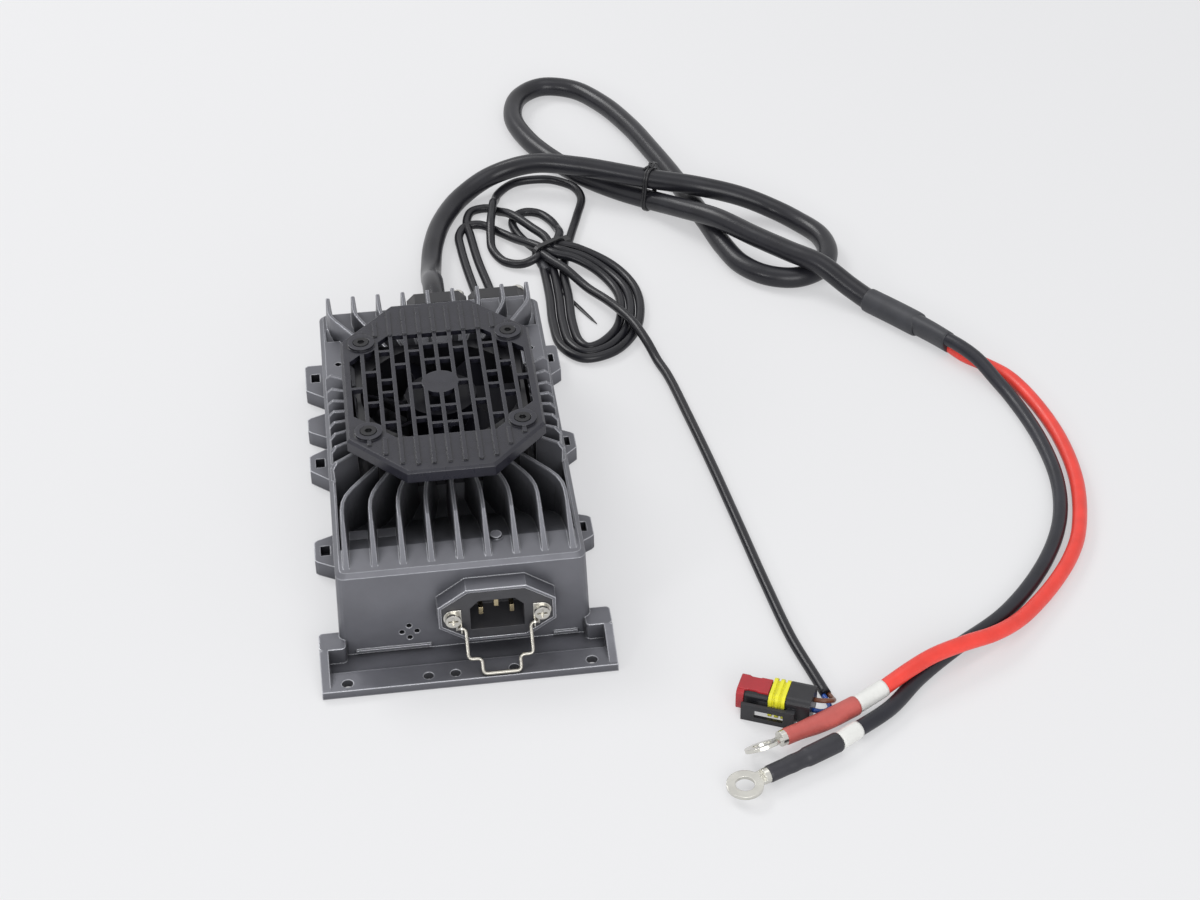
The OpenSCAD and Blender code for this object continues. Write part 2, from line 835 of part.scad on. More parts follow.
// Places of the links in each gap from the middle outward, as shares of the opening's half length
link_shares = [[0.46, 0.78], [0, 0.66], [0.41], [0.12, 0.7], [0.3], [0]];

module grille_opening() {
  difference() {
    polygon(octagon(opening_w, opening_l, opening_w - 2 * opening_cut, opening_l - 2 * opening_cut));
    for (sx = [-1, 1], sy = [-1, 1])
      translate([sx * fan_pitch / 2, sy * fan_pitch / 2])
        circle(d = screw_pad_d + 2 * screw_pad_rim);
    for (k = [-bar_count : bar_count])
      translate([k * bar_pitch, 0])
        square([bar_w, opening_l + 2 * over], center = true);
    circle(d = grille_hub_d);
    for (g = [0 : len(link_shares) - 1], s = link_shares[g], sx = [-1, 1], sy = [-1, 1])
      translate([sx * (g + 0.5) * bar_pitch, sy * s * opening_l / 2])
        square([bar_pitch, link_w], center = true);
  }
}

function grille_outline(inset) =
  octagon(grille_w - 2 * inset, grille_l - 2 * inset, grille_flat - inset, grille_side - inset);

module fan_grille() {
  bevel = 1.2;
  color([0.2, 0.2, 0.22])
    translate([0, grille_y, 0])
      difference() {
        union() {
          difference() {
            skin([
              lifted(grille_outline(0), grille_top - grille_h),
              lifted(grille_outline(0), grille_top - bevel),
              lifted(grille_outline(bevel), grille_top)]);
            translate([0, 0, grille_top - grille_h - over])
              linear_extrude(height = grille_h - grille_t + over)
                polygon(grille_outline(rim_t));
            translate([0, 0, grille_top - grille_t - over])
              linear_extrude(height = grille_t + 2 * over)
                grille_opening();
          }
          band_ribs();
          for (sx = [-1, 1], sy = [-1, 1])
            translate([sx * fan_pitch / 2, fan_y - grille_y + sy * fan_pitch / 2, fan_top_z])
              cylinder(h = grille_top + screw_pad_h - fan_top_z, d = screw_pad_d);
        }
        for (sx = [-1, 1], sy = [-1, 1])
          translate([sx * fan_pitch / 2, fan_y - grille_y + sy * fan_pitch / 2, fan_top_z - over]) {
            cylinder(h = grille_top, d = fan_screw_d + free);
            translate([0, 0, over + grille_screw_seat])
              cylinder(h = grille_top, d = grille_head_d + 2 * seat_gap);
          }
      }
}

// Raised ribs that carry the bars on over the front and rear bands
module band_ribs() {
  inner = opening_l / 2;
  for (k = [-bar_count : bar_count], sy = [-1, 1]) {
    x = k * bar_pitch;
    slope = (grille_l - grille_side) / (grille_w - grille_flat);
    reach = min(grille_l / 2, grille_side / 2 + slope * (grille_w / 2 - abs(x))) - band_margin;
    if (reach > inner)
      translate([x, sy * (inner + reach) / 2, grille_top])
        cube([bar_w, reach - inner, 2 * band_rib_h], center = true);
  }
}

grille_head_d = 7.4;
grille_head_h = 2.6;
grille_screw_seat = 4.6;
grille_key_d = 3.6;
module grille_screws() {
  screw_foot = ceiling + fan_screw_floor + slip;
  color([0.1, 0.1, 0.1])
    for (sx = [-1, 1], sy = [-1, 1])
      translate([sx * fan_pitch / 2, fan_y + sy * fan_pitch / 2, 0]) {
        translate([0, 0, screw_foot])
          cylinder(h = fan_top_z + grille_screw_seat - screw_foot, d = fan_screw_d);
        translate([0, 0, fan_top_z + grille_screw_seat])
          difference() {
            cylinder(h = grille_head_h, d = grille_head_d);
            translate([0, 0, grille_head_h / 2])
              cylinder(h = grille_head_h, d = grille_key_d, $fn = 6);
          }
      }
}

// Mains inlet: flange in the boss, hollow socket and rear block
inlet_flange_t = pocket_d;
socket_w = 24.2;
socket_h = 16.4;
socket_cut = 4;
inlet_cut = 3;
socket_deep = 17;
inlet_body_deep = 27;
module inlet_body() {
  w = boss_w - 2 * boss_rim - free;
  h = boss_h - 2 * boss_rim - free;
  color([0.08, 0.08, 0.09])
    difference() {
      union() {
        facing_front(inlet_x, boss_y + pocket_d, inlet_z)
          linear_extrude(height = inlet_flange_t)
            polygon(octagon(w, h, boss_flat - boss_rim, boss_side - boss_rim));
        facing_front(inlet_x, boss_y + inlet_body_deep, inlet_z)
          linear_extrude(height = inlet_body_deep - pocket_d)
            polygon(cut_top(inlet_hole_w - 2 * seat_gap, inlet_hole_h - 2 * seat_gap, inlet_cut));
      }
      facing_front(inlet_x, boss_y + socket_deep, inlet_z)
        linear_extrude(height = socket_deep + over)
          polygon(cut_top(socket_w, socket_h, socket_cut));
      for (sx = [-1, 1])
        facing_front(inlet_x + sx * inlet_pitch / 2, boss_y + pocket_d + over, inlet_z)
          cylinder(h = pocket_d + 2 * over, d = inlet_screw_d + free);
      for (p = pin_places)
        translate([inlet_x + p[0], boss_y + socket_deep, inlet_z + p[1]])
          cube([pin_w, 4 * inlet_body_deep, pin_h], center = true);
    }
}

pin_step = 7;
pin_rise = 2;
pin_places = [[-pin_step, -pin_rise], [0, pin_rise], [pin_step, -pin_rise]];
pin_w = 2;
pin_h = 4;
pin_tip = 5;
tab_out = 7;
module inlet_pins() {
  start = boss_y + pin_tip;
  color("gold")
    for (p = pin_places)
      translate([inlet_x + p[0] - pin_w / 2, start, inlet_z + p[1] - pin_h / 2])
        cube([pin_w, inlet_body_deep - pin_tip + tab_out, pin_h]);
}

inlet_head_d = 7;
inlet_head_h = 2.4;
slot_deep = 0.7;
slot_l = 4.4;
slot_w = 1;
bracket_t = 0.8;
module inlet_screws() {
  color("gainsboro")
    for (sx = [-1, 1])
      facing_front(inlet_x + sx * inlet_pitch / 2, boss_y - bracket_t, inlet_z) {
        difference() {
          cylinder(h = inlet_head_h, d = inlet_head_d);
          translate([0, 0, inlet_head_h - slot_deep]) {
            cube([slot_l, slot_w, 2 * slot_w], center = true);
            cube([slot_w, slot_l, 2 * slot_w], center = true);
          }
        }
        translate([0, 0, -boss_reach])
          cylinder(h = boss_reach, d = inlet_screw_d);
      }
}

// Brackets under the inlet screws carry the bail's pivots
bail_out = 2;
bail_low = 5.4;
bail_y = boss_y - bail_out;
bail_z = inlet_z - bail_low;
bail_leg_x = 14.6;
bracket_margin = 4.4;
pivot_margin = 1.4;
head_gap = 0.2;
tab_lap = 0.6;
tab_w = 3;
bracket_face_x = bail_leg_x + bail_wire / 2 + free;
bracket_w = inlet_pitch / 2 + bracket_margin - bracket_face_x;
bracket_low = bail_z - bail_wire / 2 - pivot_margin;
bracket_high = inlet_z + bracket_margin;
tab_high = inlet_z - inlet_head_d / 2 - head_gap;
module bail_brackets() {
  color("silver")
    for (sx = [-1, 1])
      translate([inlet_x, 0, 0])
        scale([sx, 1, 1])
          difference() {
            union() {
              translate([bracket_face_x, boss_y - bracket_t, tab_high - tab_lap])
                cube([bracket_w, bracket_t, bracket_high - tab_high + tab_lap]);
              translate([bracket_face_x, boss_y - bracket_t, bracket_low])
                cube([tab_w, bracket_t, tab_high - bracket_low]);
              translate([bracket_face_x, bail_y - bail_wire / 2 - bracket_t, bracket_low])
                cube([bracket_t, boss_y - bail_y + bail_wire / 2 + bracket_t,
                  tab_high - bracket_low]);
            }
            translate([inlet_pitch / 2, boss_y + over, inlet_z])
              rotate([90, 0, 0])
                cylinder(h = 2 * over + bracket_t, d = inlet_screw_d + free);
            translate([bracket_face_x - over, bail_y, bail_z])
              rotate([0, 90, 0])
                cylinder(h = bracket_t + 2 * over, d = bail_wire + snug);
          }
}

// Bail: one bent wire hanging forward from its pivots until its bar meets the flange
bail_rest = 0.15;
bail_elbow = 0.8;
bail_pin_out = 1.2;
bail_drop = bail_z - flange_t - bail_wire / 2 - bail_rest;
bail_step = 14;
bail_narrow_x = 8.6;
bail_angle = asin(bail_drop / bail_len);
bail_bend_r = 1.8;
function bail_point(x, v) = [
  inlet_x + x, bail_y - v * cos(bail_angle), bail_z - v * sin(bail_angle)];
function rounded(path, r) = [for (i = [0 : len(path) - 1])
  each (i == 0 || i == len(path) - 1)
    ? [path[i]]
    : bend(path[i] + unit(path[i - 1] - path[i]) * r, path[i],
      path[i] + unit(path[i + 1] - path[i]) * r, 2)];
module wire_bail() {
  v = bail_len;
  half = [
    bail_point(-bail_leg_x - bail_wire / 2 - snug, 0), bail_point(-bail_leg_x, bail_elbow),
    bail_point(-bail_leg_x, bail_step), bail_point(-bail_narrow_x, bail_step),
    bail_point(-bail_narrow_x, v), bail_point(bail_narrow_x, v),
    bail_point(bail_narrow_x, bail_step), bail_point(bail_leg_x, bail_step),
    bail_point(bail_leg_x, bail_elbow), bail_point(bail_leg_x + bail_wire / 2 + snug, 0)];
  path = concat([half[0]], rounded([for (i = [1 : len(half) - 2]) half[i]], bail_bend_r),
    [half[len(half) - 1]]);
  color("gainsboro") {
    plane_sweep(path, bail_wire, [0, sin(bail_angle), -cos(bail_angle)]);
    for (sx = [-1, 1])
      translate([inlet_x + sx * bail_leg_x, bail_y, bail_z])
        rotate([0, sx * 90, 0])
          cylinder(h = bail_wire / 2 + free + bracket_t + bail_pin_out, d = bail_wire, $fn = 24);
    for (sx = [-1, 1])
      translate([inlet_x + sx * bail_leg_x, bail_y, bail_z])
        sphere(d = bail_wire, $fn = 24);
  }
}

// Round wire along a path that lies in a plane with the given normal
module plane_sweep(path, d, normal) {
  skin([for (i = [0 : len(path) - 1])
    let (t = heading(path, i), across = unit(cross(t, normal)))
    [for (j = [0 : cord_sides - 1])
      let (a = 360 * (j + 0.5) / cord_sides)
      path[i] - across * d / 2 * cos(a) + unit(normal) * d / 2 * sin(a)]]);
}

membrane_t = 0.8;
membrane_d = 13;
module vent_membrane() {
  color("white")
    facing_front(vent_x, -cavity_l / 2 + membrane_t, vent_z)
      cylinder(h = membrane_t, d = membrane_d);
}

// Outlet block with a collar that tapers to the cable
module outlet_block(x, w, z) {
  color([0.07, 0.07, 0.08])
    difference() {
      union() {
        facing_rear(x, pad_y + gasket_t, outlet_z)
          linear_extrude(height = block_t)
            rotate([0, 0, 180])
              polygon(cut_top(w, outlet_h, outlet_cut));
        facing_rear(x, cavity_l / 2 - over, z)
          cylinder(h = pad_y + gasket_t + 2 * over - cavity_l / 2, d = spigot_d);
        children();
      }
      for (s = [-1, 1])
        facing_rear(x + s * outlet_screw_x, pad_y, outlet_z + s * outlet_screw_z)
          cylinder(h = 2 * block_t, d = outlet_screw_d + free);
    }
}

module collar(x, z, d1, d2) {
  start = pad_y + gasket_t + block_t - over;
  facing_rear(x, start, z)
    cylinder(h = outlet_end - start, d1 = d1, d2 = d2);
}

collar_foot = 4.5;
collar_tip = 2;
module dc_gland() {
  outlet_block(dc_x, dc_block_w, cable_z)
    collar(dc_x, cable_z, dc_d + 2 * collar_foot, dc_d + 2 * collar_tip);
}

signal_offset = 4.2;
signal_collar_foot = 3;
signal_collar_tip = 1.5;
module signal_gland() {
  outlet_block(signal_x, signal_block_w, signal_z)
    for (s = [-1, 1])
      collar(signal_x + s * signal_offset, signal_z, signal_d + 2 * signal_collar_foot,
        signal_d + 2 * signal_collar_tip);
}

module gland_gaskets() {
  color([0.15, 0.15, 0.15])
    for (o = [[dc_x, dc_block_w, cable_z], [signal_x, signal_block_w, signal_z]])
      difference() {
        facing_rear(o[0], pad_y, outlet_z)
          linear_extrude(height = gasket_t)
            rotate([0, 0, 180])
              polygon(cut_top(o[1] - 2 * free, outlet_h - 2 * free, outlet_cut));
        facing_rear(o[0], pad_y - over, o[2])
          cylinder(h = gasket_t + 2 * over, d = spigot_d + slip);
        for (s = [-1, 1])
          facing_rear(o[0] + s * outlet_screw_x, pad_y - over, outlet_z + s * outlet_screw_z)
            cylinder(h = gasket_t + 2 * over, d = outlet_screw_d + free);
      }
}

outlet_key_d = 3;
module gland_screws() {
  face = pad_y + gasket_t + block_t;
  thread_end = half_l - wall + over + free;
  color("gainsboro")
    for (x = [dc_x, signal_x], s = [-1, 1])
      translate([x + s * outlet_screw_x, 0, outlet_z + s * outlet_screw_z]) {
        facing_rear(0, thread_end, 0)
          cylinder(h = face - thread_end, d = outlet_screw_d);
        facing_rear(0, face, 0)
          difference() {
            cylinder(h = inlet_head_h, d = inlet_head_d);
            translate([0, 0, inlet_head_h / 2])
              cylinder(h = inlet_head_h, d = outlet_key_d, $fn = 6);
          }
      }
}

// Main board, notched round the cover's bosses
board_r = 1;
board_head_h = 2;
board_head_d = 5.5;
module circuit_board() {
  color("darkgreen")
    difference() {
      translate([0, 0, board_z])
        linear_extrude(height = board_t)
          polygon(round_rect(board_w, board_l, board_r));
      for (sx = [-1, 1], y = cover_boss_y, sy = [-1, 1])
        translate([sx * cover_boss_x, sy * y, board_z - over])
          cylinder(h = board_t + 2 * over, r = cover_boss_r + 2 * seat_gap);
      for (sx = [-1, 1], y = [-board_post_y, 0, board_post_y])
        translate([sx * board_post_x, y, board_z - over])
          cylinder(h = board_t + 2 * over, d = cover_screw_d + slip);
    }
}

module board_screws() {
  color("gainsboro")
    for (sx = [-1, 1], y = [-board_post_y, 0, board_post_y])
      translate([sx * board_post_x, y, 0]) {
        translate([0, 0, board_z - board_head_h])
          cylinder(h = board_head_h, d = board_head_d);
        translate([0, 0, board_z])
          cylinder(h = cover_screw_l, d = cover_screw_d);
      }
}

// Transformer: two E-halves closed round a winding on a bobbin
core_w = 40;
core_l = 30;
core_h = 20;
core_x = -4;
core_y_share = 0.1556;
core_y = board_l / 2 * core_y_share;
core_leg = 7;
core_middle = 13;
module transformer_core() {
  color([0.25, 0.25, 0.27])
    translate([core_x, core_y, board_top + core_h / 2])
      difference() {
        cube([core_w, core_l, core_h], center = true);
        for (sx = [-1, 1])
          translate([sx * (core_middle / 2 + (core_w / 2 - core_leg - core_middle / 2) / 2), 0, 0])
            cube([core_w / 2 - core_leg - core_middle / 2, core_l - 2 * core_leg, 2 * core_h],
              center = true);
      }
}

module transformer_winding() {
  inset = seat_gap;
  slot = core_w / 2 - core_leg - core_middle / 2;
  color("khaki")
    translate([core_x, core_y, board_top])
      difference() {
        translate([0, 0, core_h / 2])
          cube([core_middle + 2 * slot - 2 * inset, core_l - 2 * core_leg - 2 * inset, core_h],
            center = true);
        translate([0, 0, core_h / 2])
          cube([core_middle + 2 * inset, core_l, core_h + 2 * over], center = true);
      }
}

// Toroid standing on its side face
module ring_core(x, y, d, hole, h) {
  translate([x, y, board_top])
    difference() {
      cylinder(h = h, d = d);
      translate([0, 0, -over])
        cylinder(h = h + 2 * over, d = hole);
    }
}

choke_x = 24;
choke_y_share = -0.4222;
choke_y = board_l / 2 * choke_y_share;
choke_d = 34;
choke_hole = 14;
choke_h = 13;
turn_t = 1.6;
turn_w = 3;
module boost_choke_core() {
  color([0.2, 0.35, 0.25])
    translate([0, 0, turn_t])
      ring_core(choke_x, choke_y, choke_d, choke_hole, choke_h);
}

module boost_choke_winding() {
  color("chocolate")
    translate([choke_x, choke_y, board_top])
      difference() {
        intersection() {
          cylinder(h = choke_h + 2 * turn_t, d = choke_d + 2 * turn_t);
          for (a = [0 : 30 : 330])
            rotate([0, 0, a])
              translate([choke_hole / 2 - turn_t, -turn_w / 2, 0])
                cube([choke_d, turn_w, choke_h + 2 * turn_t]);
        }
        translate([0, 0, turn_t])
          difference() {
            cylinder(h = choke_h, d = choke_d);
            translate([0, 0, -over])
              cylinder(h = choke_h + 2 * over, d = choke_hole);
          }
        translate([0, 0, -over])
          cylinder(h = choke_h + 2 * turn_t + 2 * over, d = choke_hole - 2 * turn_t);
      }
}

can_d = 18;
can_l = 32;
can_gap = 21;
can_in = 17;
can_y_share = -0.5556;
can_x = can_in - board_w / 2;
can_y = board_l / 2 * can_y_share;

filter_in = 30;
filter_gap = 16;
filter_x = filter_in - board_w / 2;
filter_y = can_y - filter_gap;
filter_d = 22;
filter_hole = 9;
filter_h = 12;
module filter_choke() {
  color("goldenrod")
    ring_core(filter_x, filter_y, filter_d, filter_hole, filter_h);
}

module bulk_capacitors() {
  color([0.1, 0.15, 0.3])
    for (i = [0, 1])
      translate([can_x + i * can_gap, can_y, board_top + can_d / 2])
        rotate([-90, 0, 0])
          cylinder(h = can_l, d = can_d);
}

film_in = 4;
film_size = [12, 20, 16];
film_y = can_y - film_size[1] - film_in;
module film_capacitor() {
  color("orange")
    translate([film_in - board_w / 2, film_y, board_top])
      cube(film_size);
}

small_can_x = -27;
small_can_share = 0.5556;
small_can_y = board_l / 2 * small_can_share;
small_can_gap = 12;
small_can_h = 19;
small_can_d = 10;
module output_capacitors() {
  color([0.1, 0.15, 0.3])
    for (i = [0 : 3])
      translate([small_can_x + small_can_gap * i, small_can_y, board_top])
        cylinder(h = small_can_h, d = small_can_d);
}

// Transistors stand against the side walls on insulating pads
device_w = 16;
device_h = 19;
device_t = 4.6;
pad_t = 0.5;
device_shares = [-0.133, 0.095];
device_y = half_l * device_shares;
device_top = ceiling - over;
leg_in = 1.2;
leg_pitch = 5;
leg_t = 0.8;
leg_w = 1.4;
module power_transistors() {
  color([0.1, 0.1, 0.1])
    for (sx = [-1, 1], y = device_y)
      translate([sx * (cavity_w / 2 - pad_t - device_t / 2), y, 0]) {
        translate([0, 0, device_top - device_h / 2])
          cube([device_t, device_w, device_h], center = true);
        for (k = [-1, 0, 1])
          translate([-sx * leg_in, k * leg_pitch, (board_top + ceiling - device_h) / 2])
            cube([leg_t, leg_w, ceiling - device_h - board_top], center = true);
      }
}

module thermal_pads() {
  color("lightsteelblue")
    for (sx = [-1, 1], y = device_y)
      translate([sx * (cavity_w / 2 - pad_t / 2), y, device_top - device_h / 2])
        cube([pad_t, device_w + 2 * over, device_h], center = true);
}

fuse_d = 5.2;
fuse_l = 20;
module fuse() {
  color("ivory")
    translate([fuse_d, filter_y, board_top + fuse_d / 2])
      rotate([0, 90, 0])
        cylinder(h = fuse_l, d = fuse_d);
}

control_x = 30;
control_y_share = 0.289;
control_y = board_l / 2 * control_y_share;
control_l = 50;
control_h = 17;
module control_board() {
  color("seagreen")
    translate([control_x, control_y, board_top])
      cube([board_t, control_l, control_h]);
}

terminal_s = 11;
terminal_y = board_post_y;
terminal_h = 8;
terminal_out = 9;
terminal_x = [dc_x - terminal_out, dc_x + terminal_out];
module output_terminals() {
  color("goldenrod")
    for (x = terminal_x)
      translate([x - terminal_s / 2, terminal_y - terminal_s / 2, board_top])
        cube([terminal_s, terminal_s, terminal_h]);
}

inner_wire_d = 3.4;
module output_leads() {
  end = cavity_l / 2 - 1;
  color("firebrick")
    for (s = [-1, 1])
      cord([
        [dc_x + s * 2.6, end, cable_z],
        [dc_x + s * 2.6, end - 4, cable_z],
        [dc_x + s * 5.5, end - 11, cable_z - 2],
        [dc_x + s * 8.6, terminal_y + 2.5, board_top + 14],
        [dc_x + s * 9, terminal_y, board_top + 10],
        [dc_x + s * 9, terminal_y, board_top + 8]], inner_wire_d,
        before = [[dc_x + s * 2.6, half_l, cable_z]],
        after = [[dc_x + s * 9, terminal_y - 0.2, board_top]]);
}

module input_leads() {
  start = boss_y + inlet_body_deep + tab_out;
  color("saddlebrown")
    for (p = pin_places)
      cord([
        [inlet_x + p[0], start, inlet_z + p[1]],
        [inlet_x + p[0], start + 3, inlet_z + p[1]],
        [inlet_x + p[0], start + 7, inlet_z + p[1] - 3.4],
        [inlet_x + p[0], start + 9, board_top + 5],
        [inlet_x + p[0], start + 9, board_top]], pin_w,
        before = [[inlet_x + p[0], start - 3, inlet_z + p[1]]],
        after = [[inlet_x + p[0], start + 9.2, 0]]);
}

module fan_lead() {
  color("black")
    translate([fan_lead_x, fan_lead_y, board_top])
      cylinder(h = fan_seat_z - board_top, d = fan_lead_d);
}

module lead_grommet() {
  lip = 1.5;
  color([0.2, 0.2, 0.2])
    translate([fan_lead_x, fan_lead_y, ceiling])
      difference() {
        union() {
          cylinder(h = roof_t + lip, d = grommet_d - snug);
          translate([0, 0, roof_t])
            cylinder(h = lip, d = grommet_d + 2 * lip);
        }
        translate([0, 0, -over])
          cylinder(h = roof_t + lip + 2 * over, d = fan_lead_d + snug);
      }
}

// Route of the output cable: out of its collar, over the loop and into it
dc_route = [
  [4.8, 130.7, 28], [4.8, 146, 28], [5, 162, 23.5], [5, 180, 13], [6, 200, 6.6], [9, 225, 6],
  [16, 250, 6], [29, 273, 7], [48, 287, 11], [72, 287, 17], [98, 276, 19.4], [137, 256, 19.4],
  [164, 245, 18.4], [188, 239, 13], [206, 231, 8], [219, 219, 6]];
// Loop that lies flat under the crossings
dc_loop = [
  [219, 219, 6], [229, 202, 6], [230, 183, 6], [221, 166, 6], [205, 159, 6], [189, 164, 6],
  [177, 178, 6], [171, 200, 6], [166, 225, 6], [160, 252, 6], [154, 280, 6], [146, 310, 6],
  [137, 340, 6], [124, 370, 6], [108, 391, 6], [89, 397, 6], [74, 386, 6], [68, 362, 6],
  [74, 334, 6], [88, 306, 6], [104, 284, 6], [120, 268, 6]];
// Way out of the loop to the split
dc_way_out = [
  [120, 268, 6], [137, 253, 7.4], [154, 234, 12.6], [171, 213, 18.2], [189, 191, 18.2],
  [205, 173, 18.2], [219, 158, 18], [232, 143, 10.4], [241, 132, 7]];

// Plan of a loop with its end faces square to the points that come before and after it
module loop_outline(path, w, before, after) {
  run = concat(before, path, after);
  rows = len(run);
  full = band(run, w);
  last = len(path) - 1;
  polygon(concat(
    [for (i = [1 : last + 1]) full[i]],
    [for (i = [rows + 1 : rows + last + 1]) full[i]]));
}

module dc_cable_lead() {
  color([0.08, 0.08, 0.08])
    cord(dc_route, dc_d, before = [[4.8, 116, 28]], after = [dc_loop[1]]);
}

module dc_cable_hank() {
  color([0.1, 0.1, 0.1])
    linear_extrude(height = dc_d + seat_gap)
      loop_outline(dc_loop, dc_d, [dc_route[len(dc_route) - 2]], [dc_way_out[1]]);
}

module dc_cable_tail() {
  color([0.08, 0.08, 0.08])
    cord(dc_way_out, dc_d, before = [dc_loop[len(dc_loop) - 2]], after = [sleeve_one[1]]);
}

// Two shrink sleeves over the place where the cable splits
sleeve_one = [[241, 132, 7], [250, 120, 7], [260, 106, 7.2]];
sleeve_two = [[260, 106, 7.2], [266, 97, 7.4], [272, 87, 7.5]];
sleeve_one_d = 13.6;
sleeve_two_d = 14.6;
module breakout_sleeves() {
  color([0.12, 0.12, 0.13]) {
    cord(sleeve_one, sleeve_one_d, 12, [dc_way_out[len(dc_way_out) - 2]], [sleeve_two[1]]);
    cord(sleeve_two, sleeve_two_d, 12, [sleeve_one[1]]);
  }
}

positive_route = [
  [269.8, 85.7, 4.9], [275, 77.3, 4.3], [284, 69, 3.7], [295, 59, 3.7], [304, 38, 3.7],
  [309, 4, 3.7], [307, -34, 3.7], [297, -70, 3.7], [277, -103, 3.7], [250, -130.5, 3.9],
  [236, -138, 8.3], [221, -143, 10.9], [205, -150, 10.9], [192, -158, 10], [180, -166, 7.4]];
negative_route = [
  [274.2, 88.3, 10], [279.5, 79.8, 10.9], [285, 68, 11.2], [290, 54, 8.8], [294, 36, 4.2],
  [298, 2, 3.7], [296, -32, 3.7], [289, -62, 3.7], [273, -92, 3.7], [246, -123, 3.7],
  [217.7, -142.7, 3.7], [198, -158.5, 3.7], [181, -175.5, 3.7], [164, -187, 4.3]];
positive_end = [[180, -166, 7.4], [166, -173.5, 5.6], [151, -180.5, 5.2], [136, -187, 6]];
negative_end = [[164, -187, 4.3], [154, -193.5, 4.6], [140, -200, 4.6], [125, -206.5, 4.6]];

function part_of(path, a, b) = [for (i = [a : b]) path[i]];

module positive_lead() {
  color("red")
    cord(positive_route, lead_d, before = [[264.5, 94.2, 4.9]], after = [positive_end[1]]);
}

module negative_lead() {
  color([0.1, 0.1, 0.1])
    cord(negative_route, lead_d, before = [[268.9, 96.8, 10]], after = [negative_end[1]]);
}

// Label sleeves, shrink boots and ring lugs at the ends of the leads
marker_d = 8.6;
boot_d = 9;
lug_barrel = 8;
lug_barrel_d = 7;
lug_ring_d = 16;
lug_hole_d = 8.4;
lug_t = 1.6;
lug_reach = 17;

module marker_sleeves() {
  color("white") {
    cord(part_of(positive_end, 0, 1), marker_d, 12,
      [positive_route[len(positive_route) - 2]], [positive_end[2]]);
    cord(part_of(negative_end, 0, 1), marker_d, 12,
      [negative_route[len(negative_route) - 2]], [negative_end[2]]);
  }
}

module positive_boot() {
  color("indianred")
    cord(part_of(positive_end, 1, 3), boot_d, 12, [positive_end[0]]);
}

module negative_boot() {
  color([0.12, 0.12, 0.13])
    cord(part_of(negative_end, 1, 3), boot_d, 12, [negative_end[0]]);
}

// Ring lug at the end of a boot, turned about its own length by roll
module lug(path, roll) {
  end = path[len(path) - 1];
  d = unit(end - path[len(path) - 2]);
  translate(end)
    rotate([0, 0, atan2(d[1], d[0])])
      rotate([0, -asin(d[2]), 0])
        rotate([roll, 0, 0]) {
          rotate([0, 90, 0])
            cylinder(h = lug_barrel, d = lug_barrel_d, $fn = 24);
          difference() {
            union() {
              translate([lug_reach, 0, -lug_t / 2])
                cylinder(h = lug_t, d = lug_ring_d);
              translate([lug_barrel - 2 * lug_t, -lug_barrel_d / 2, -lug_t / 2])
                cube([lug_reach - lug_barrel, lug_barrel_d, lug_t]);
            }
            translate([lug_reach, 0, -lug_t])
              cylinder(h = 2 * lug_t, d = lug_hole_d);
          }
        }
}

module positive_lug() {
  color("silver")
    lug(positive_end, 40);
}

module negative_lug() {
  color("silver")
    lug(negative_end, 0);
}

// Signal cables: two leave their outlet side by side and enter a tied hank
signal_route_a = [
  [40.2, 130.7, 24], [40.2, 142, 24], [39.6, 152, 17], [38.5, 164, 7], [37, 180, 2.8],
  [33, 210, 2.6], [31, 236, 2.6]];
signal_route_b = [
  [31.8, 130.7, 24], [31.8, 142, 24], [31.2, 152, 17], [30, 164, 7], [28.6, 180, 2.8],
  [26, 204, 2.6], [24.5, 224, 2.6]];
// Strokes of the hank: the layer on the table, then the layer over it
hank_entry_a = [[31, 236], [30, 252], [34, 263], [43, 265], [53, 253], [63, 237], [74, 220]];
hank_entry_b = [[24.5, 224], [24.5, 238], [29, 247], [37, 248], [48, 238], [60, 222], [72, 208]];
hank_right = [
  [71, 211], [86, 205], [102, 190], [111, 170], [111, 148], [105, 129], [93, 115.5], [82, 113],
  [75, 122], [73, 142], [74, 168], [74, 190]];
hank_left = [
  [76, 216], [86, 228], [94, 250], [98.5, 268], [96, 280], [89, 287.5], [80, 292], [62, 291],
  [51, 280], [48, 268]];
hank_inner = [[76, 216], [80, 232], [78, 246], [72, 255], [64, 257.5], [57, 255]];
hank_over = [[48.5, 272], [47, 262], [44.5, 248], [42.5, 234], [42, 226]];
hank_low = [[42, 230], [42, 220], [48, 207], [58, 201], [70, 199]];
hank_throat = [[74, 190], [72, 204], [73, 214]];
signal_way_out = [
  [80, 182, 2.6], [91, 167, 3], [100, 152, 7.9], [107, 137, 8.2], [113, 121, 7.9],
  [118, 104, 3.4], [122, 86, 2.6], [127, 50, 2.6], [132, 10, 2.6], [137, -36, 2.6],
  [142, -84, 2.6], [147, -124, 2.6], [152, -148, 2.6], [155, -162, 2.6]];

module signal_lead_a() {
  color([0.1, 0.1, 0.1])
    cord(signal_route_a, signal_d, before = [[40.2, 116, 24]], after = [[30, 250, 2.6]]);
}

module signal_lead_b() {
  color([0.1, 0.1, 0.1])
    cord(signal_route_b, signal_d, before = [[31.8, 116, 24]], after = [[24.5, 238, 2.6]]);
}

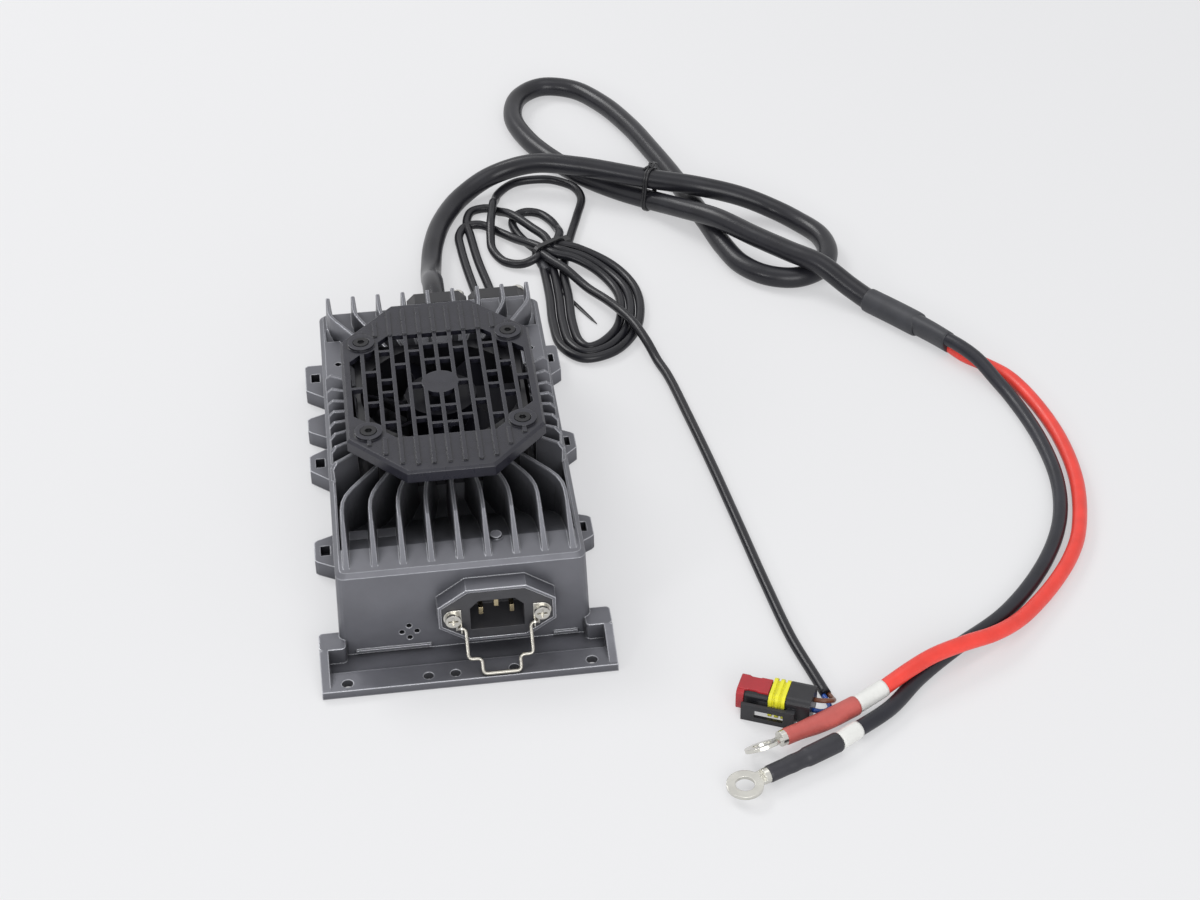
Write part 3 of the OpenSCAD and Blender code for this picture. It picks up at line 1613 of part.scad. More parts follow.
strand_gap = 0.2;
layer_h = signal_d + strand_gap;
tie_block_l = 14;
bundle_h = 2 * layer_h - 1;
signal_tie_at = [73, 210];
signal_tie_turn = -58;
signal_tie_w = 19;
signal_strap_w = 3;
dc_strap_w = 4;
module signal_hank() {
  strand = layer_h;
  color([0.12, 0.12, 0.12]) {
    difference() {
      union() {
        linear_extrude(height = layer_h)
          union() {
            stroke(hank_right, 3 * strand);
            stroke(hank_throat, 2 * strand);
            polygon(band(hank_entry_a, strand));
            polygon(band(hank_entry_b, strand));
            stroke(hank_left, strand);
            stroke(hank_inner, strand);
            stroke(hank_low, strand);
          }
        translate([0, 0, layer_h - slip])
          linear_extrude(height = layer_h)
            stroke(hank_over, strand);
        translate([signal_tie_at[0], signal_tie_at[1], 0])
          rotate([0, 0, signal_tie_turn])
            translate([-tie_block_l / 2, snug - signal_tie_w / 2, 0])
              cube([tie_block_l, signal_tie_w - 2 * snug, bundle_h + tie_strap]);
      }
      tie_room([signal_tie_at[0], signal_tie_at[1], bundle_h / 2 + tie_strap],
        signal_tie_turn, signal_tie_w, bundle_h, signal_strap_w);
    }
  }
}

module signal_tail() {
  color([0.1, 0.1, 0.1])
    cord(signal_way_out, signal_d);
}

// Two-way sealed connector lying on its side, its length along plug_angle
plug_at = [147, -172, 6.6];
plug_angle = 155;
plug_w = 15;
plug_h = 13;
plug_rear_l = 11;
plug_nose_l = 19;
seal_l = 8;
plug_r = 3;
neck_in = 2.2;
nose_in = 1.5;
contact_deep = 8;
contact_x = 3;
contact_d = 3.4;
ridge_step = 2.9;
ridge_w = 1.6;
valley_in = 0.8;
lock_l = 3.4;
lock_in = 0.75;
lock_slot_h = 4;
module plug_frame() {
  translate(plug_at)
    rotate([0, 0, plug_angle])
      children();
}

// Bar along X with rounded long edges
module soft_bar(start, l, w, h, r) {
  translate([start, 0, 0])
    rotate([90, 0, 90])
      linear_extrude(height = l)
        polygon(round_rect(w, h, r));
}

latch_w = 9;
latch_gap = 1.6;
latch_t = 1.8;
latch_root = 5;
latch_frame = 2.5;
module connector_body() {
  side = plug_w / 2 + latch_gap;
  color([0.08, 0.08, 0.08])
    plug_frame() {
      difference() {
        union() {
          soft_bar(0, plug_rear_l, plug_w, plug_h, plug_r);
          soft_bar(plug_rear_l, seal_l, plug_w - 2 * neck_in, plug_h - 2 * neck_in, plug_r);
          soft_bar(plug_rear_l + seal_l, plug_nose_l - seal_l, plug_w - 2 * nose_in,
            plug_h - 2 * nose_in, plug_r);
        }
        for (s = [-1, 1])
          translate([plug_rear_l + plug_nose_l - contact_deep, s * contact_x, 0])
            rotate([0, 90, 0])
              cylinder(h = contact_deep + over, d = contact_d, $fn = 24);
      }
      difference() {
        translate([plug_rear_l - latch_root, side, -plug_h / 2])
          cube([plug_nose_l + latch_root, latch_t, latch_w]);
        translate([plug_rear_l, side - over, latch_frame - plug_h / 2])
          cube([plug_nose_l - latch_root - over, latch_t + 2 * over, latch_w - 2 * latch_frame]);
      }
      translate([plug_rear_l - latch_root, 0, -plug_h / 2])
        cube([latch_root - over, side + latch_t, latch_w]);
    }
}

module connector_seal() {
  color("yellow")
    plug_frame()
      difference() {
        union() {
          soft_bar(plug_rear_l + seat_gap, seal_l - 2 * seat_gap, plug_w - 2 * valley_in,
            plug_h - 2 * valley_in, plug_r);
          for (i = [0 : 2])
            soft_bar(plug_rear_l + seat_gap + i * ridge_step, ridge_w, plug_w, plug_h, plug_r);
        }
        soft_bar(plug_rear_l - over, seal_l + 2 * over, plug_w - 2 * neck_in,
          plug_h - 2 * neck_in, plug_r);
      }
}

module connector_lock() {
  start = plug_rear_l + plug_nose_l;
  color("firebrick")
    plug_frame()
      difference() {
        soft_bar(start, lock_l, plug_w - 2 * lock_in, plug_h - 2 * lock_in, plug_r);
        soft_bar(start - over, lock_l + 2 * over, plug_w - 4 * nose_in, lock_slot_h, lock_slot_h / 4);
      }
}

wire_d = 2.2;
blue_route = [
  [153.8, -162.3, 2.6], [155, -167.9, 2.6], [155, -170, 2.8], [154.1, -171.9, 3.2],
  [152.4, -173.2, 3.6], [150.4, -173.7, 4], [148.3, -173.3, 4.4], [146.8, -172.5, 4.6]];
brown_route = [
  [156.2, -161.8, 2.6], [157.1, -166.2, 3.8], [157.1, -168.3, 5.2], [156.1, -170.3, 6.8],
  [154.4, -171.7, 8.2], [152.3, -172.2, 8.8], [150.2, -171.8, 8.8], [147.7, -170.6, 8.6]];
module connector_wires() {
  color("royalblue")
    cord(blue_route, wire_d);
  color("saddlebrown")
    cord(brown_route, wire_d);
}

// Cable ties: a strap round the bundle and its head
tie_strap = 1.2;
dc_tie_at = [137, 254.6, 13.4];
dc_tie_turn = -35;
dc_tie_room = 3.8;
tie_head = 5;
tie_r = 3;
module tie(place, turn, w, h, strap_w) {
  translate(place)
    rotate([0, 0, turn]) {
      difference() {
        soft_bar(-strap_w / 2, strap_w, w + 2 * tie_strap, h + 2 * tie_strap, tie_r + over);
        soft_bar(-strap_w, 2 * strap_w, w, h, tie_r);
      }
      translate([0, w / 2 + tie_strap + tie_head / 3, h / 2 - tie_r - over])
        cube([tie_head, tie_head - over, tie_head], center = true);
    }
}

// Room that a bundle leaves for its tie
module tie_room(place, turn, w, h, strap_w) {
  translate(place)
    rotate([0, 0, turn])
      difference() {
        translate([-strap_w / 2 - snug, -w, -h])
          cube([strap_w + 2 * snug, 2 * w, 2 * h]);
        soft_bar(-strap_w, 2 * strap_w, w - 2 * snug, h - 2 * snug, tie_r);
      }
  translate(place)
    rotate([0, 0, turn])
      translate([0, w / 2 + tie_strap + tie_head / 3, h / 2 - tie_r - over])
        cube([tie_head + 2 * snug, tie_head - over + 2 * snug, tie_head + 2 * snug], center = true);
}

module dc_tie() {
  color([0.1, 0.1, 0.1])
    tie(dc_tie_at, dc_tie_turn, dc_d + dc_tie_room, 2 * dc_d + tie_strap + 0.2, dc_strap_w);
}

module signal_tie() {
  color([0.1, 0.1, 0.1])
    tie([signal_tie_at[0], signal_tie_at[1], bundle_h / 2 + tie_strap], signal_tie_turn,
      signal_tie_w, bundle_h, signal_strap_w);
}

housing();
bottom_cover();
cover_gasket();
cover_screws();
fan_frame();
fan_rotor();
fan_stator();
fan_grille();
grille_screws();
inlet_body();
inlet_pins();
inlet_screws();
bail_brackets();
wire_bail();
vent_membrane();
dc_gland();
signal_gland();
gland_gaskets();
gland_screws();
circuit_board();
board_screws();
transformer_core();
transformer_winding();
boost_choke_core();
boost_choke_winding();
filter_choke();
bulk_capacitors();
film_capacitor();
output_capacitors();
power_transistors();
thermal_pads();
fuse();
control_board();
output_terminals();
output_leads();
input_leads();
fan_lead();
lead_grommet();
dc_cable_lead();
dc_cable_hank();
dc_cable_tail();
breakout_sleeves();
positive_lead();
negative_lead();
marker_sleeves();
positive_boot();
negative_boot();
positive_lug();
negative_lug();
signal_lead_a();
signal_lead_b();
signal_hank();
signal_tail();
connector_body();
connector_seal();
connector_lock();
connector_wires();
dc_tie();
signal_tie();
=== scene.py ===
import math

import bmesh
import bpy
import numpy as np
from mathutils import Matrix, Vector


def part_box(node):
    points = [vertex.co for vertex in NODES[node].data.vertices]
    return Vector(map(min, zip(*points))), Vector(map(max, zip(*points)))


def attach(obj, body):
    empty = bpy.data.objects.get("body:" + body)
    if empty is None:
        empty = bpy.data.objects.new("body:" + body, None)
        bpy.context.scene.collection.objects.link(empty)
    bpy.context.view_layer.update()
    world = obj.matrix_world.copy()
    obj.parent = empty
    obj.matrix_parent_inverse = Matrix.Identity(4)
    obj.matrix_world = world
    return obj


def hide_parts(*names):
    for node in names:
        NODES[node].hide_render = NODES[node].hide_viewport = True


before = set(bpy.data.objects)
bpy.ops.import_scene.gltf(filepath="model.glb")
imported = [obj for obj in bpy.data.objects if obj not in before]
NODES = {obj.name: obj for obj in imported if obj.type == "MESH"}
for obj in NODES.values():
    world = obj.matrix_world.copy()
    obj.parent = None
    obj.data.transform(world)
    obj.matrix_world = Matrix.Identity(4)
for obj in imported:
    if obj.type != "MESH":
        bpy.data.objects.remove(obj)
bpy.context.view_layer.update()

MM = 0.001
CAMERA_AT = (-0.0305, -0.9005, 0.7278)
SENSOR, PHOTO_WIDTH, FOCAL_PIXELS = 36.0, 1200.0, 2349.4
scene = bpy.context.scene
scene.view_settings.view_transform = "Standard"


def make_camera():
    """Stands in front of the inlet, left of the middle, and looks down."""
    down, yaw, roll = math.radians(37.8), math.radians(6.7), math.radians(-1.1)
    forward = Vector((math.sin(yaw) * math.cos(down), math.cos(yaw) * math.cos(down),
                      -math.sin(down)))
    right = Vector((math.cos(yaw), -math.sin(yaw), 0))
    up = right.cross(forward)
    r = math.cos(roll) * right + math.sin(roll) * up
    u = -math.sin(roll) * right + math.cos(roll) * up
    data = bpy.data.cameras.new("camera")
    data.sensor_width = SENSOR
    data.sensor_fit = "HORIZONTAL"
    data.lens = FOCAL_PIXELS * SENSOR / PHOTO_WIDTH
    data.clip_start, data.clip_end = 0.05, 50.0
    camera = bpy.data.objects.new("camera", data)
    scene.collection.objects.link(camera)
    m = Matrix.Identity(4)
    for row in range(3):
        m[row][0], m[row][1], m[row][2] = r[row], u[row], -forward[row]
    m[0][3], m[1][3], m[2][3] = CAMERA_AT
    camera.matrix_world = m
    scene.camera = camera


make_camera()


# Materials

class Mat:
    """A procedural material that is put together node by node."""

    def __init__(self, name, color, rough, metal=0.0, **more):
        self.m = bpy.data.materials.new(name)
        self.m.use_nodes = True
        self.t = self.m.node_tree
        self.b = self.t.nodes["Principled BSDF"]
        self.color = tuple(color) + (1.0,)
        self.b.inputs["Base Color"].default_value = self.color
        self.b.inputs["Roughness"].default_value = rough
        self.b.inputs["Metallic"].default_value = metal
        for key, value in more.items():
            self.b.inputs[key.replace("_", " ")].default_value = value
        self.m.diffuse_color = self.color
        self.place = self.add("ShaderNodeTexCoord").outputs["Object"]
        self.shade = self.color
        self.soft = self.height = None

    def add(self, kind, **fields):
        n = self.t.nodes.new(kind)
        for key, value in fields.items():
            setattr(n, key, value)
        return n

    def link(self, a, b):
        self.t.links.new(a, b)

    def noise(self, scale, detail=3.0, rough=0.5, stretch=None):
        n = self.add("ShaderNodeTexNoise")
        n.inputs["Scale"].default_value = scale
        n.inputs["Detail"].default_value = detail
        n.inputs["Roughness"].default_value = rough
        if stretch:
            mapping = self.add("ShaderNodeMapping")
            mapping.inputs["Scale"].default_value = stretch
            self.link(self.place, mapping.inputs["Vector"])
            self.link(mapping.outputs[0], n.inputs["Vector"])
        else:
            self.link(self.place, n.inputs["Vector"])
        return n.outputs["Fac"]

    def ramp(self, value, low, high, a, b):
        """a where value is under low, b over high, a blend between."""
        n = self.add("ShaderNodeMapRange")
        n.clamp = True
        for i, x in enumerate((low, high, a, b)):
            n.inputs[i + 1].default_value = x
        self.link(value, n.inputs[0])
        return n.outputs[0]

    def mix(self, share, a, b):
        n = self.add("ShaderNodeMix", data_type="RGBA")
        for socket, value in ((n.inputs[0], share), (n.inputs[6], a), (n.inputs[7], b)):
            if isinstance(value, (tuple, list)):
                socket.default_value = tuple(value) + (1.0,) * (4 - len(value))
            else:
                self.link(value, socket)
        self.shade = n.outputs[2]
        self.link(self.shade, self.b.inputs["Base Color"])
        return self

    def mottle(self, scale, amount, **kw):
        """Uneven shade: the colour swings by amount either way."""
        dark = tuple(c * (1 - amount) for c in self.color[:3])
        light = tuple(min(1.0, c * (1 + amount)) for c in self.color[:3])
        return self.mix(self.ramp(self.noise(scale, **kw), 0.3, 0.7, 0.0, 1.0), dark, light)

    def edges(self, radius, color, low=0.02, high=0.14):
        """Painted highlight: a lighter colour where the surface turns sharply."""
        soft = self.add("ShaderNodeBevel", samples=6)
        soft.inputs["Radius"].default_value = radius
        hard = self.add("ShaderNodeNewGeometry")
        dot = self.add("ShaderNodeVectorMath", operation="DOT_PRODUCT")
        self.link(soft.outputs[0], dot.inputs[0])
        self.link(hard.outputs["Normal"], dot.inputs[1])
        painted_highlight_mask = self.ramp(dot.outputs["Value"], 1 - high, 1 - low, 1.0, 0.0)
        return self.mix(painted_highlight_mask, self.shade, color)

    def painted_hollow_shade(self, reach, color, low, high):
        """Painted shade: a darker colour where the surface lies deep between others."""
        n = self.add("ShaderNodeAmbientOcclusion", samples=6)
        n.inputs["Distance"].default_value = reach
        return self.mix(self.ramp(n.outputs["AO"], low, high, 0.0, 1.0), color, self.shade)

    def round(self, radius):
        """Soft edges in the shading."""
        self.soft = self.add("ShaderNodeBevel", samples=6)
        self.soft.inputs["Radius"].default_value = radius
        return self

    def polish(self, scale, low, high, **kw):
        """Roughness that varies between low and high."""
        f = self.noise(scale, **kw)
        self.link(self.ramp(f, 0.3, 0.7, low, high), self.b.inputs["Roughness"])
        return self

    def bump(self, scale, depth, strength=1.0, **kw):
        """Fine unevenness of that depth in metres."""
        n = self.add("ShaderNodeBump")
        n.inputs["Strength"].default_value = strength
        n.inputs["Distance"].default_value = depth
        self.link(self.noise(scale, **kw), n.inputs["Height"])
        if self.height is not None:
            self.link(self.height, n.inputs["Normal"])
        elif self.soft is not None:
            self.link(self.soft.outputs[0], n.inputs["Normal"])
        self.height = n.outputs[0]
        self.link(self.height, self.b.inputs["Normal"])
        return self


# Cast body: a painted highlight along its sharp edges and painted shade in its hollows.
CAST = (Mat("cast_aluminium", (0.156, 0.158, 0.176), 0.35, 0.45)
        .mottle(60, 0.08, detail=4).edges(0.0012, (0.74, 0.75, 0.79), 0.04, 0.22)
        .painted_hollow_shade(0.012, (0.04, 0.041, 0.048), 0.25, 0.8).round(0.0007).polish(140, 0.3, 0.44)
        .bump(900, 0.0001, 0.3).bump(90, 0.0005, 0.15)).m
COVER = (Mat("cover_sheet_metal", (0.62, 0.63, 0.64), 0.35, 0.9)
         .mottle(30, 0.05).round(0.0003).bump(300, 0.0001, 0.3, stretch=(1, 12, 1))).m
RUBBER = (Mat("seal_rubber", (0.03, 0.03, 0.032), 0.75)
          .mottle(120, 0.15).round(0.0003).bump(700, 0.0001, 0.4)).m
STEEL = (Mat("bright_steel", (0.6, 0.585, 0.54), 0.22, 1.0)
         .mottle(200, 0.05).round(0.00025).polish(120, 0.16, 0.28).bump(500, 0.00001, 0.2)).m
WIRE = (Mat("drawn_wire", (0.4, 0.385, 0.345), 0.28, 1.0)
        .mottle(200, 0.06).polish(90, 0.22, 0.36).bump(500, 0.00001, 0.2)).m
SOCKET = (Mat("socket_plastic", (0.042, 0.042, 0.047), 0.42)
          .mottle(150, 0.1).round(0.0004).polish(200, 0.36, 0.5).bump(1100, 0.00005, 0.3)).m
BLACK = (Mat("black_plastic", (0.014, 0.014, 0.017), 0.36)
         .mottle(150, 0.12).round(0.0004).polish(200, 0.3, 0.44).bump(1100, 0.00005, 0.3)).m
ROTOR = (Mat("rotor_plastic", (0.006, 0.006, 0.01), 0.4, Specular_IOR_Level=0.2)
         .mottle(150, 0.1).round(0.0003).bump(1100, 0.00005, 0.3)).m
# Grille: a painted highlight along its edges and painted shade in the gaps between its ribs.
GRILLE = (Mat("grille_plastic", (0.017, 0.017, 0.025), 0.3)
          .mottle(130, 0.1).edges(0.0006, (0.075, 0.077, 0.092), 0.05, 0.3)
          .painted_hollow_shade(0.003, (0.004, 0.004, 0.007), 0.55, 0.93).round(0.0006).polish(220, 0.24, 0.36)
          .bump(1300, 0.00004, 0.3)).m
DARK_STEEL = (Mat("black_steel", (0.03, 0.03, 0.032), 0.3, 0.6)
              .mottle(200, 0.1).round(0.0002).bump(900, 0.00003, 0.3)).m
CONTACT = (Mat("contact_metal", (0.56, 0.47, 0.3), 0.25, 1.0)
           .mottle(200, 0.06).round(0.0002).bump(700, 0.00002, 0.3)).m
COPPER = (Mat("enamelled_copper", (0.5, 0.2, 0.09), 0.3, 0.7)
          .mottle(200, 0.12).round(0.0003).bump(900, 0.0001, 0.5, stretch=(1, 1, 9))).m
WHITE = (Mat("white_plastic", (0.8, 0.8, 0.78), 0.4)
         .mottle(90, 0.04).round(0.0003).bump(900, 0.00004, 0.3)).m
BOARD = (Mat("board_green", (0.04, 0.19, 0.085), 0.35)
         .mottle(70, 0.15).round(0.0002).bump(500, 0.00006, 0.4)).m
FERRITE = (Mat("ferrite", (0.09, 0.09, 0.1), 0.6)
           .mottle(160, 0.12).round(0.0004).bump(900, 0.0001, 0.4)).m
TAPE = (Mat("winding_tape", (0.7, 0.55, 0.14), 0.35)
        .mottle(60, 0.08).round(0.0004).bump(400, 0.0001, 0.4, stretch=(1, 1, 5))).m
GREEN_CORE = (Mat("green_core", (0.07, 0.18, 0.1), 0.5)
              .mottle(120, 0.1).round(0.0005).bump(700, 0.0001, 0.4)).m
YELLOW_CORE = (Mat("yellow_core", (0.62, 0.48, 0.1), 0.5)
               .mottle(120, 0.1).round(0.0005).bump(700, 0.0001, 0.4)).m
CAN = (Mat("can_sleeve", (0.025, 0.04, 0.13), 0.3)
       .mottle(120, 0.1).round(0.0006).bump(500, 0.00006, 0.3)).m
FILM = (Mat("film_case", (0.7, 0.26, 0.06), 0.35)
        .mottle(100, 0.08).round(0.0006).bump(600, 0.00006, 0.3)).m
PAD = (Mat("thermal_pad", (0.4, 0.45, 0.5), 0.8)
       .mottle(150, 0.08).round(0.0002).bump(600, 0.0001, 0.4)).m
FUSE = (Mat("fuse_body", (0.82, 0.8, 0.75), 0.3)
        .mottle(120, 0.05).round(0.0004).bump(500, 0.00005, 0.3)).m
JACKET = (Mat("black_jacket", (0.016, 0.016, 0.02), 0.3, Specular_IOR_Level=0.36)
          .mottle(80, 0.2).polish(60, 0.26, 0.36).bump(500, 0.00003, 0.2).bump(60, 0.0004, 0.12)).m
THIN_JACKET = (Mat("thin_black_jacket", (0.011, 0.011, 0.0145), 0.3, Specular_IOR_Level=0.36)
               .mottle(120, 0.2).polish(90, 0.26, 0.36)
               .bump(700, 0.00002, 0.2).bump(90, 0.0003, 0.12)).m
LEAD_JACKET = (Mat("black_lead_jacket", (0.014, 0.0145, 0.021), 0.36, Specular_IOR_Level=0.4)
               .mottle(90, 0.2).polish(80, 0.3, 0.44)
               .bump(600, 0.00006, 0.3).bump(90, 0.0004, 0.2)).m
RED = (Mat("red_jacket", (0.84, 0.062, 0.045), 0.36, Specular_IOR_Level=0.4)
       .mottle(110, 0.08).polish(140, 0.3, 0.42).bump(600, 0.00005, 0.3).bump(90, 0.0004, 0.2)).m
INNER_BROWN = (Mat("brown_jacket", (0.16, 0.07, 0.035), 0.35)
               .mottle(110, 0.1).bump(600, 0.00006, 0.3)).m
SLEEVE = (Mat("shrunk_sleeve", (0.03, 0.031, 0.037), 0.5)
          .mottle(140, 0.15).bump(900, 0.00008, 0.4).bump(120, 0.0006, 0.3)).m
MARKER = (Mat("marker_sleeve", (0.8, 0.8, 0.77), 0.42)
          .mottle(120, 0.04).bump(500, 0.00006, 0.3)).m
RED_BOOT = (Mat("red_boot", (0.52, 0.105, 0.09), 0.5)
            .mottle(110, 0.12).bump(600, 0.00008, 0.4).bump(140, 0.0007, 0.35)).m
BLACK_BOOT = (Mat("black_boot", (0.02, 0.02, 0.026), 0.48)
              .mottle(110, 0.2).bump(600, 0.00008, 0.4).bump(140, 0.0007, 0.35)).m
TINNED = (Mat("tinned_copper", (0.68, 0.67, 0.62), 0.24, 1.0)
          .mottle(90, 0.05).round(0.0004).polish(90, 0.18, 0.32).bump(300, 0.00002, 0.2)).m
YELLOW = (Mat("yellow_seal", (0.82, 0.78, 0.03), 0.42)
          .mottle(160, 0.06).round(0.0004).bump(800, 0.00004, 0.3)).m
LOCK = (Mat("red_lock", (0.4, 0.022, 0.03), 0.33)
        .mottle(160, 0.1).round(0.0003).bump(900, 0.00004, 0.3)).m
BLUE = (Mat("blue_wire", (0.02, 0.09, 0.42), 0.35)
        .mottle(160, 0.1).bump(700, 0.00004, 0.3)).m
BROWN = (Mat("brown_wire", (0.16, 0.055, 0.025), 0.35)
         .mottle(160, 0.1).bump(700, 0.00004, 0.3)).m
TIE = (Mat("tie_nylon", (0.012, 0.012, 0.014), 0.36)
       .mottle(160, 0.1).round(0.0002).bump(900, 0.00004, 0.3)).m

FINISH = {
    CAST: ("housing",), COVER: ("bottom_cover",),
    RUBBER: ("cover_gasket", "gland_gaskets", "lead_grommet"),
    STEEL: ("cover_screws", "inlet_screws", "bail_brackets", "gland_screws", "board_screws"),
    WIRE: ("wire_bail",), SOCKET: ("inlet_body",), GRILLE: ("fan_grille",),
    DARK_STEEL: ("grille_screws",),
    BLACK: ("fan_frame", "dc_gland", "signal_gland", "power_transistors", "connector_body"),
    ROTOR: ("fan_rotor",), CONTACT: ("inlet_pins", "output_terminals"),
    COPPER: ("fan_stator", "boost_choke_winding"),
    WHITE: ("vent_membrane",), BOARD: ("circuit_board", "control_board"),
    FERRITE: ("transformer_core",), TAPE: ("transformer_winding",),
    GREEN_CORE: ("boost_choke_core",), YELLOW_CORE: ("filter_choke",),
    CAN: ("bulk_capacitors", "output_capacitors"), FILM: ("film_capacitor",),
    PAD: ("thermal_pads",), FUSE: ("fuse",), RED: ("output_leads",),
    INNER_BROWN: ("input_leads",), THIN_JACKET: ("fan_lead",),
    TINNED: ("positive_lug", "negative_lug"), YELLOW: ("connector_seal",),
    LOCK: ("connector_lock",), TIE: ("dc_tie", "signal_tie"),
}
for material, names in FINISH.items():
    for name in names:
        mesh = NODES[name].data
        mesh.materials.clear()
        mesh.materials.append(material)


# Tubes. Every length below is in millimetres until a mesh is made

def smooth_line(points, step):
    """A curve through the points, sampled about every step."""
    p = [np.array(q, float) for q in points]
    p = [2 * p[0] - p[1]] + p + [2 * p[-1] - p[-2]]
    out = []
    for i in range(1, len(p) - 2):
        a, b, c, d = p[i - 1:i + 3]
        t0 = 0.0
        t1 = t0 + max(np.linalg.norm(b - a), 1e-6) ** 0.5
        t2 = t1 + max(np.linalg.norm(c - b), 1e-6) ** 0.5
        t3 = t2 + max(np.linalg.norm(d - c), 1e-6) ** 0.5
        n = max(2, int(round(np.linalg.norm(c - b) / step)))
        for k in range(n):
            t = t1 + (t2 - t1) * k / n
            a1 = (t1 - t) / (t1 - t0) * a + (t - t0) / (t1 - t0) * b
            a2 = (t2 - t) / (t2 - t1) * b + (t - t1) / (t2 - t1) * c
            a3 = (t3 - t) / (t3 - t2) * c + (t - t2) / (t3 - t2) * d
            b1 = (t2 - t) / (t2 - t0) * a1 + (t - t0) / (t2 - t0) * a2
            b2 = (t3 - t) / (t3 - t1) * a2 + (t - t1) / (t3 - t1) * a3
            out.append((t2 - t) / (t2 - t1) * b1 + (t - t1) / (t2 - t1) * b2)
    out.append(p[-2])
    return np.array(out)


def filleted(points, r, n=5):
    """The points with each corner replaced by a small arc."""
    p = [np.array(q, float) for q in points]
    out = [p[0]]
    for a, b, c in zip(p, p[1:], p[2:]):
        u, w = (a - b) / np.linalg.norm(a - b), (c - b) / np.linalg.norm(c - b)
        for k in range(n + 1):
            t = k / n
            out.append(b + u * r * (1 - t) ** 2 + w * r * t ** 2)
    out.append(p[-1])
    return np.array(out)


def rings(line, across, sides, tilt=0.0):
    """Rings round a line, carried along it without twist.

    across gives each ring's two half widths.
    """
    tangents = np.zeros_like(line)
    tangents[1:-1] = line[2:] - line[:-2]
    tangents[0], tangents[-1] = line[1] - line[0], line[-1] - line[-2]
    tangents /= np.linalg.norm(tangents, axis=1)[:, None]
    up = np.array([0.0, 0.0, 1.0])
    if abs(tangents[0] @ up) > 0.9:
        up = np.array([1.0, 0.0, 0.0])
    side = np.cross(tangents[0], up)
    c, s = math.cos(tilt), math.sin(tilt)
    angles = 2 * np.pi * (np.arange(sides) + 0.5) / sides
    verts = []
    for i in range(len(line)):
        side = side - (side @ tangents[i]) * tangents[i]
        side /= np.linalg.norm(side)
        rise = np.cross(side, tangents[i])
        first, second = c * side + s * rise, c * rise - s * side
        wide, high = across[i]
        for a in angles:
            verts.append(line[i] + wide * math.cos(a) * first + high * math.sin(a) * second)
    return np.array(verts)


def tube_faces(n, sides):
    """The skin between n rings, and a face over each end."""
    faces = []
    for i in range(n - 1):
        for j in range(sides):
            k = (j + 1) % sides
            faces.append((i * sides + j, i * sides + k, (i + 1) * sides + k, (i + 1) * sides + j))
    faces.append(tuple(range(sides - 1, -1, -1)))
    faces.append(tuple((n - 1) * sides + j for j in range(sides)))
    return faces


def add_mesh(name, verts, faces, material, body="housing", smooth=True):
    """An object that rides on a body. verts are in millimetres."""
    mesh = bpy.data.meshes.new(name)
    mesh.from_pydata([tuple(v * MM) for v in verts], [], faces)
    mesh.materials.append(material)
    b = bmesh.new()
    b.from_mesh(mesh)
    bmesh.ops.recalc_face_normals(b, faces=b.faces)
    b.to_mesh(mesh)
    b.free()
    if smooth:
        for f in mesh.polygons:
            f.use_smooth = len(f.vertices) <= 4
    obj = bpy.data.objects.new(name, mesh)
    scene.collection.objects.link(obj)
    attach(obj, body)
    return obj


def tube(name, points, diameter, material, sides=18, step=2.5, profile=None, lowest=None,
         tilt=0.0):
    """A tube along the points.

    profile gives (share along, half width, other half width) as parts of the radius.
    """
    line = smooth_line(points, step)
    if lowest is not None:
        line[:, 2] = np.maximum(line[:, 2], lowest)
    along = np.concatenate([[0], np.cumsum(np.linalg.norm(np.diff(line, axis=0), axis=1))])
    along /= along[-1]
    across = np.full((len(line), 2), diameter / 2)
    if profile:
        shares = [q[0] for q in profile]
        across[:, 0] *= np.interp(along, shares, [q[1] for q in profile])
        across[:, 1] *= np.interp(along, shares, [q[-1] for q in profile])
    verts, faces = rings(line, across, sides, tilt), tube_faces(len(line), sides)
    return add_mesh(name, verts, faces, material), line


def stands_for(obj, slot, *nodes):
    """Hides the CAD nodes that the piece replaces; the slot is not used."""
    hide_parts(*nodes)


def lane(points, off):
    """The plan points moved off to the left of travel."""
    p = [np.array(q[:2], float) for q in points]
    out = []
    for i in range(len(p)):
        t = p[min(i + 1, len(p) - 1)] - p[max(i - 1, 0)]
        t /= np.linalg.norm(t)
        q = p[i] + off * np.array([-t[1], t[0]])
        out.append([float(q[0]), float(q[1])])
    return out


# Output cable: it leaves its gland, makes one loop under a tie and ends in two sleeves

DC_D, LEAD_D, SIGNAL_D, WIRE_D = 11.5, 7.2, 5.0, 2.2
DC_ROUTE = [
    [4.8, 130.7, 28], [4.8, 146, 28], [5, 162, 23.5], [5, 180, 13], [6, 200, 6.6], [9, 225, 6],
    [16, 250, 6], [29, 273, 7], [48, 287, 11], [72, 287, 17], [98, 276, 19.4], [137, 256, 19.4],
    [164, 245, 18.4], [188, 239, 13], [205, 231, 8], [217, 219, 6]]
DC_LOOP = [
    [226.5, 202, 6], [227.5, 184, 6], [220, 168.5, 6], [205.5, 162, 6], [190, 166.5, 6],
    [178, 179.5, 6], [171, 200, 6], [166, 225, 6], [160, 252, 6], [154, 280, 6], [146, 310, 6],
    [137, 340, 6], [124, 370, 6], [108, 391, 6], [89, 397, 6], [74, 386, 6], [68, 362, 6],
    [74, 334, 6], [88, 306, 6], [104, 284, 6], [120, 268, 6]]
DC_WAY_OUT = [
    [136.5, 252.5, 7.4], [152, 232.5, 12.6], [168.5, 211, 17.7], [186.5, 189, 17.8],
    [202.5, 171, 17.8], [217, 156, 17.4], [231, 142, 10.4], [240.5, 131.6, 7]]
SLEEVE_ONE = [
    [239, 133.4, 7.1], [241, 131, 7], [250, 119.6, 7], [258, 108.6, 7.2], [260.8, 104.7, 7.2]]
SLEEVE_TWO = [[259.2, 107, 7.2], [266, 97.1, 7.4], [272, 87.4, 7.6], [272.9, 85.9, 7.6]]

INTO_SLEEVE = [[244, 127.6, 7]]

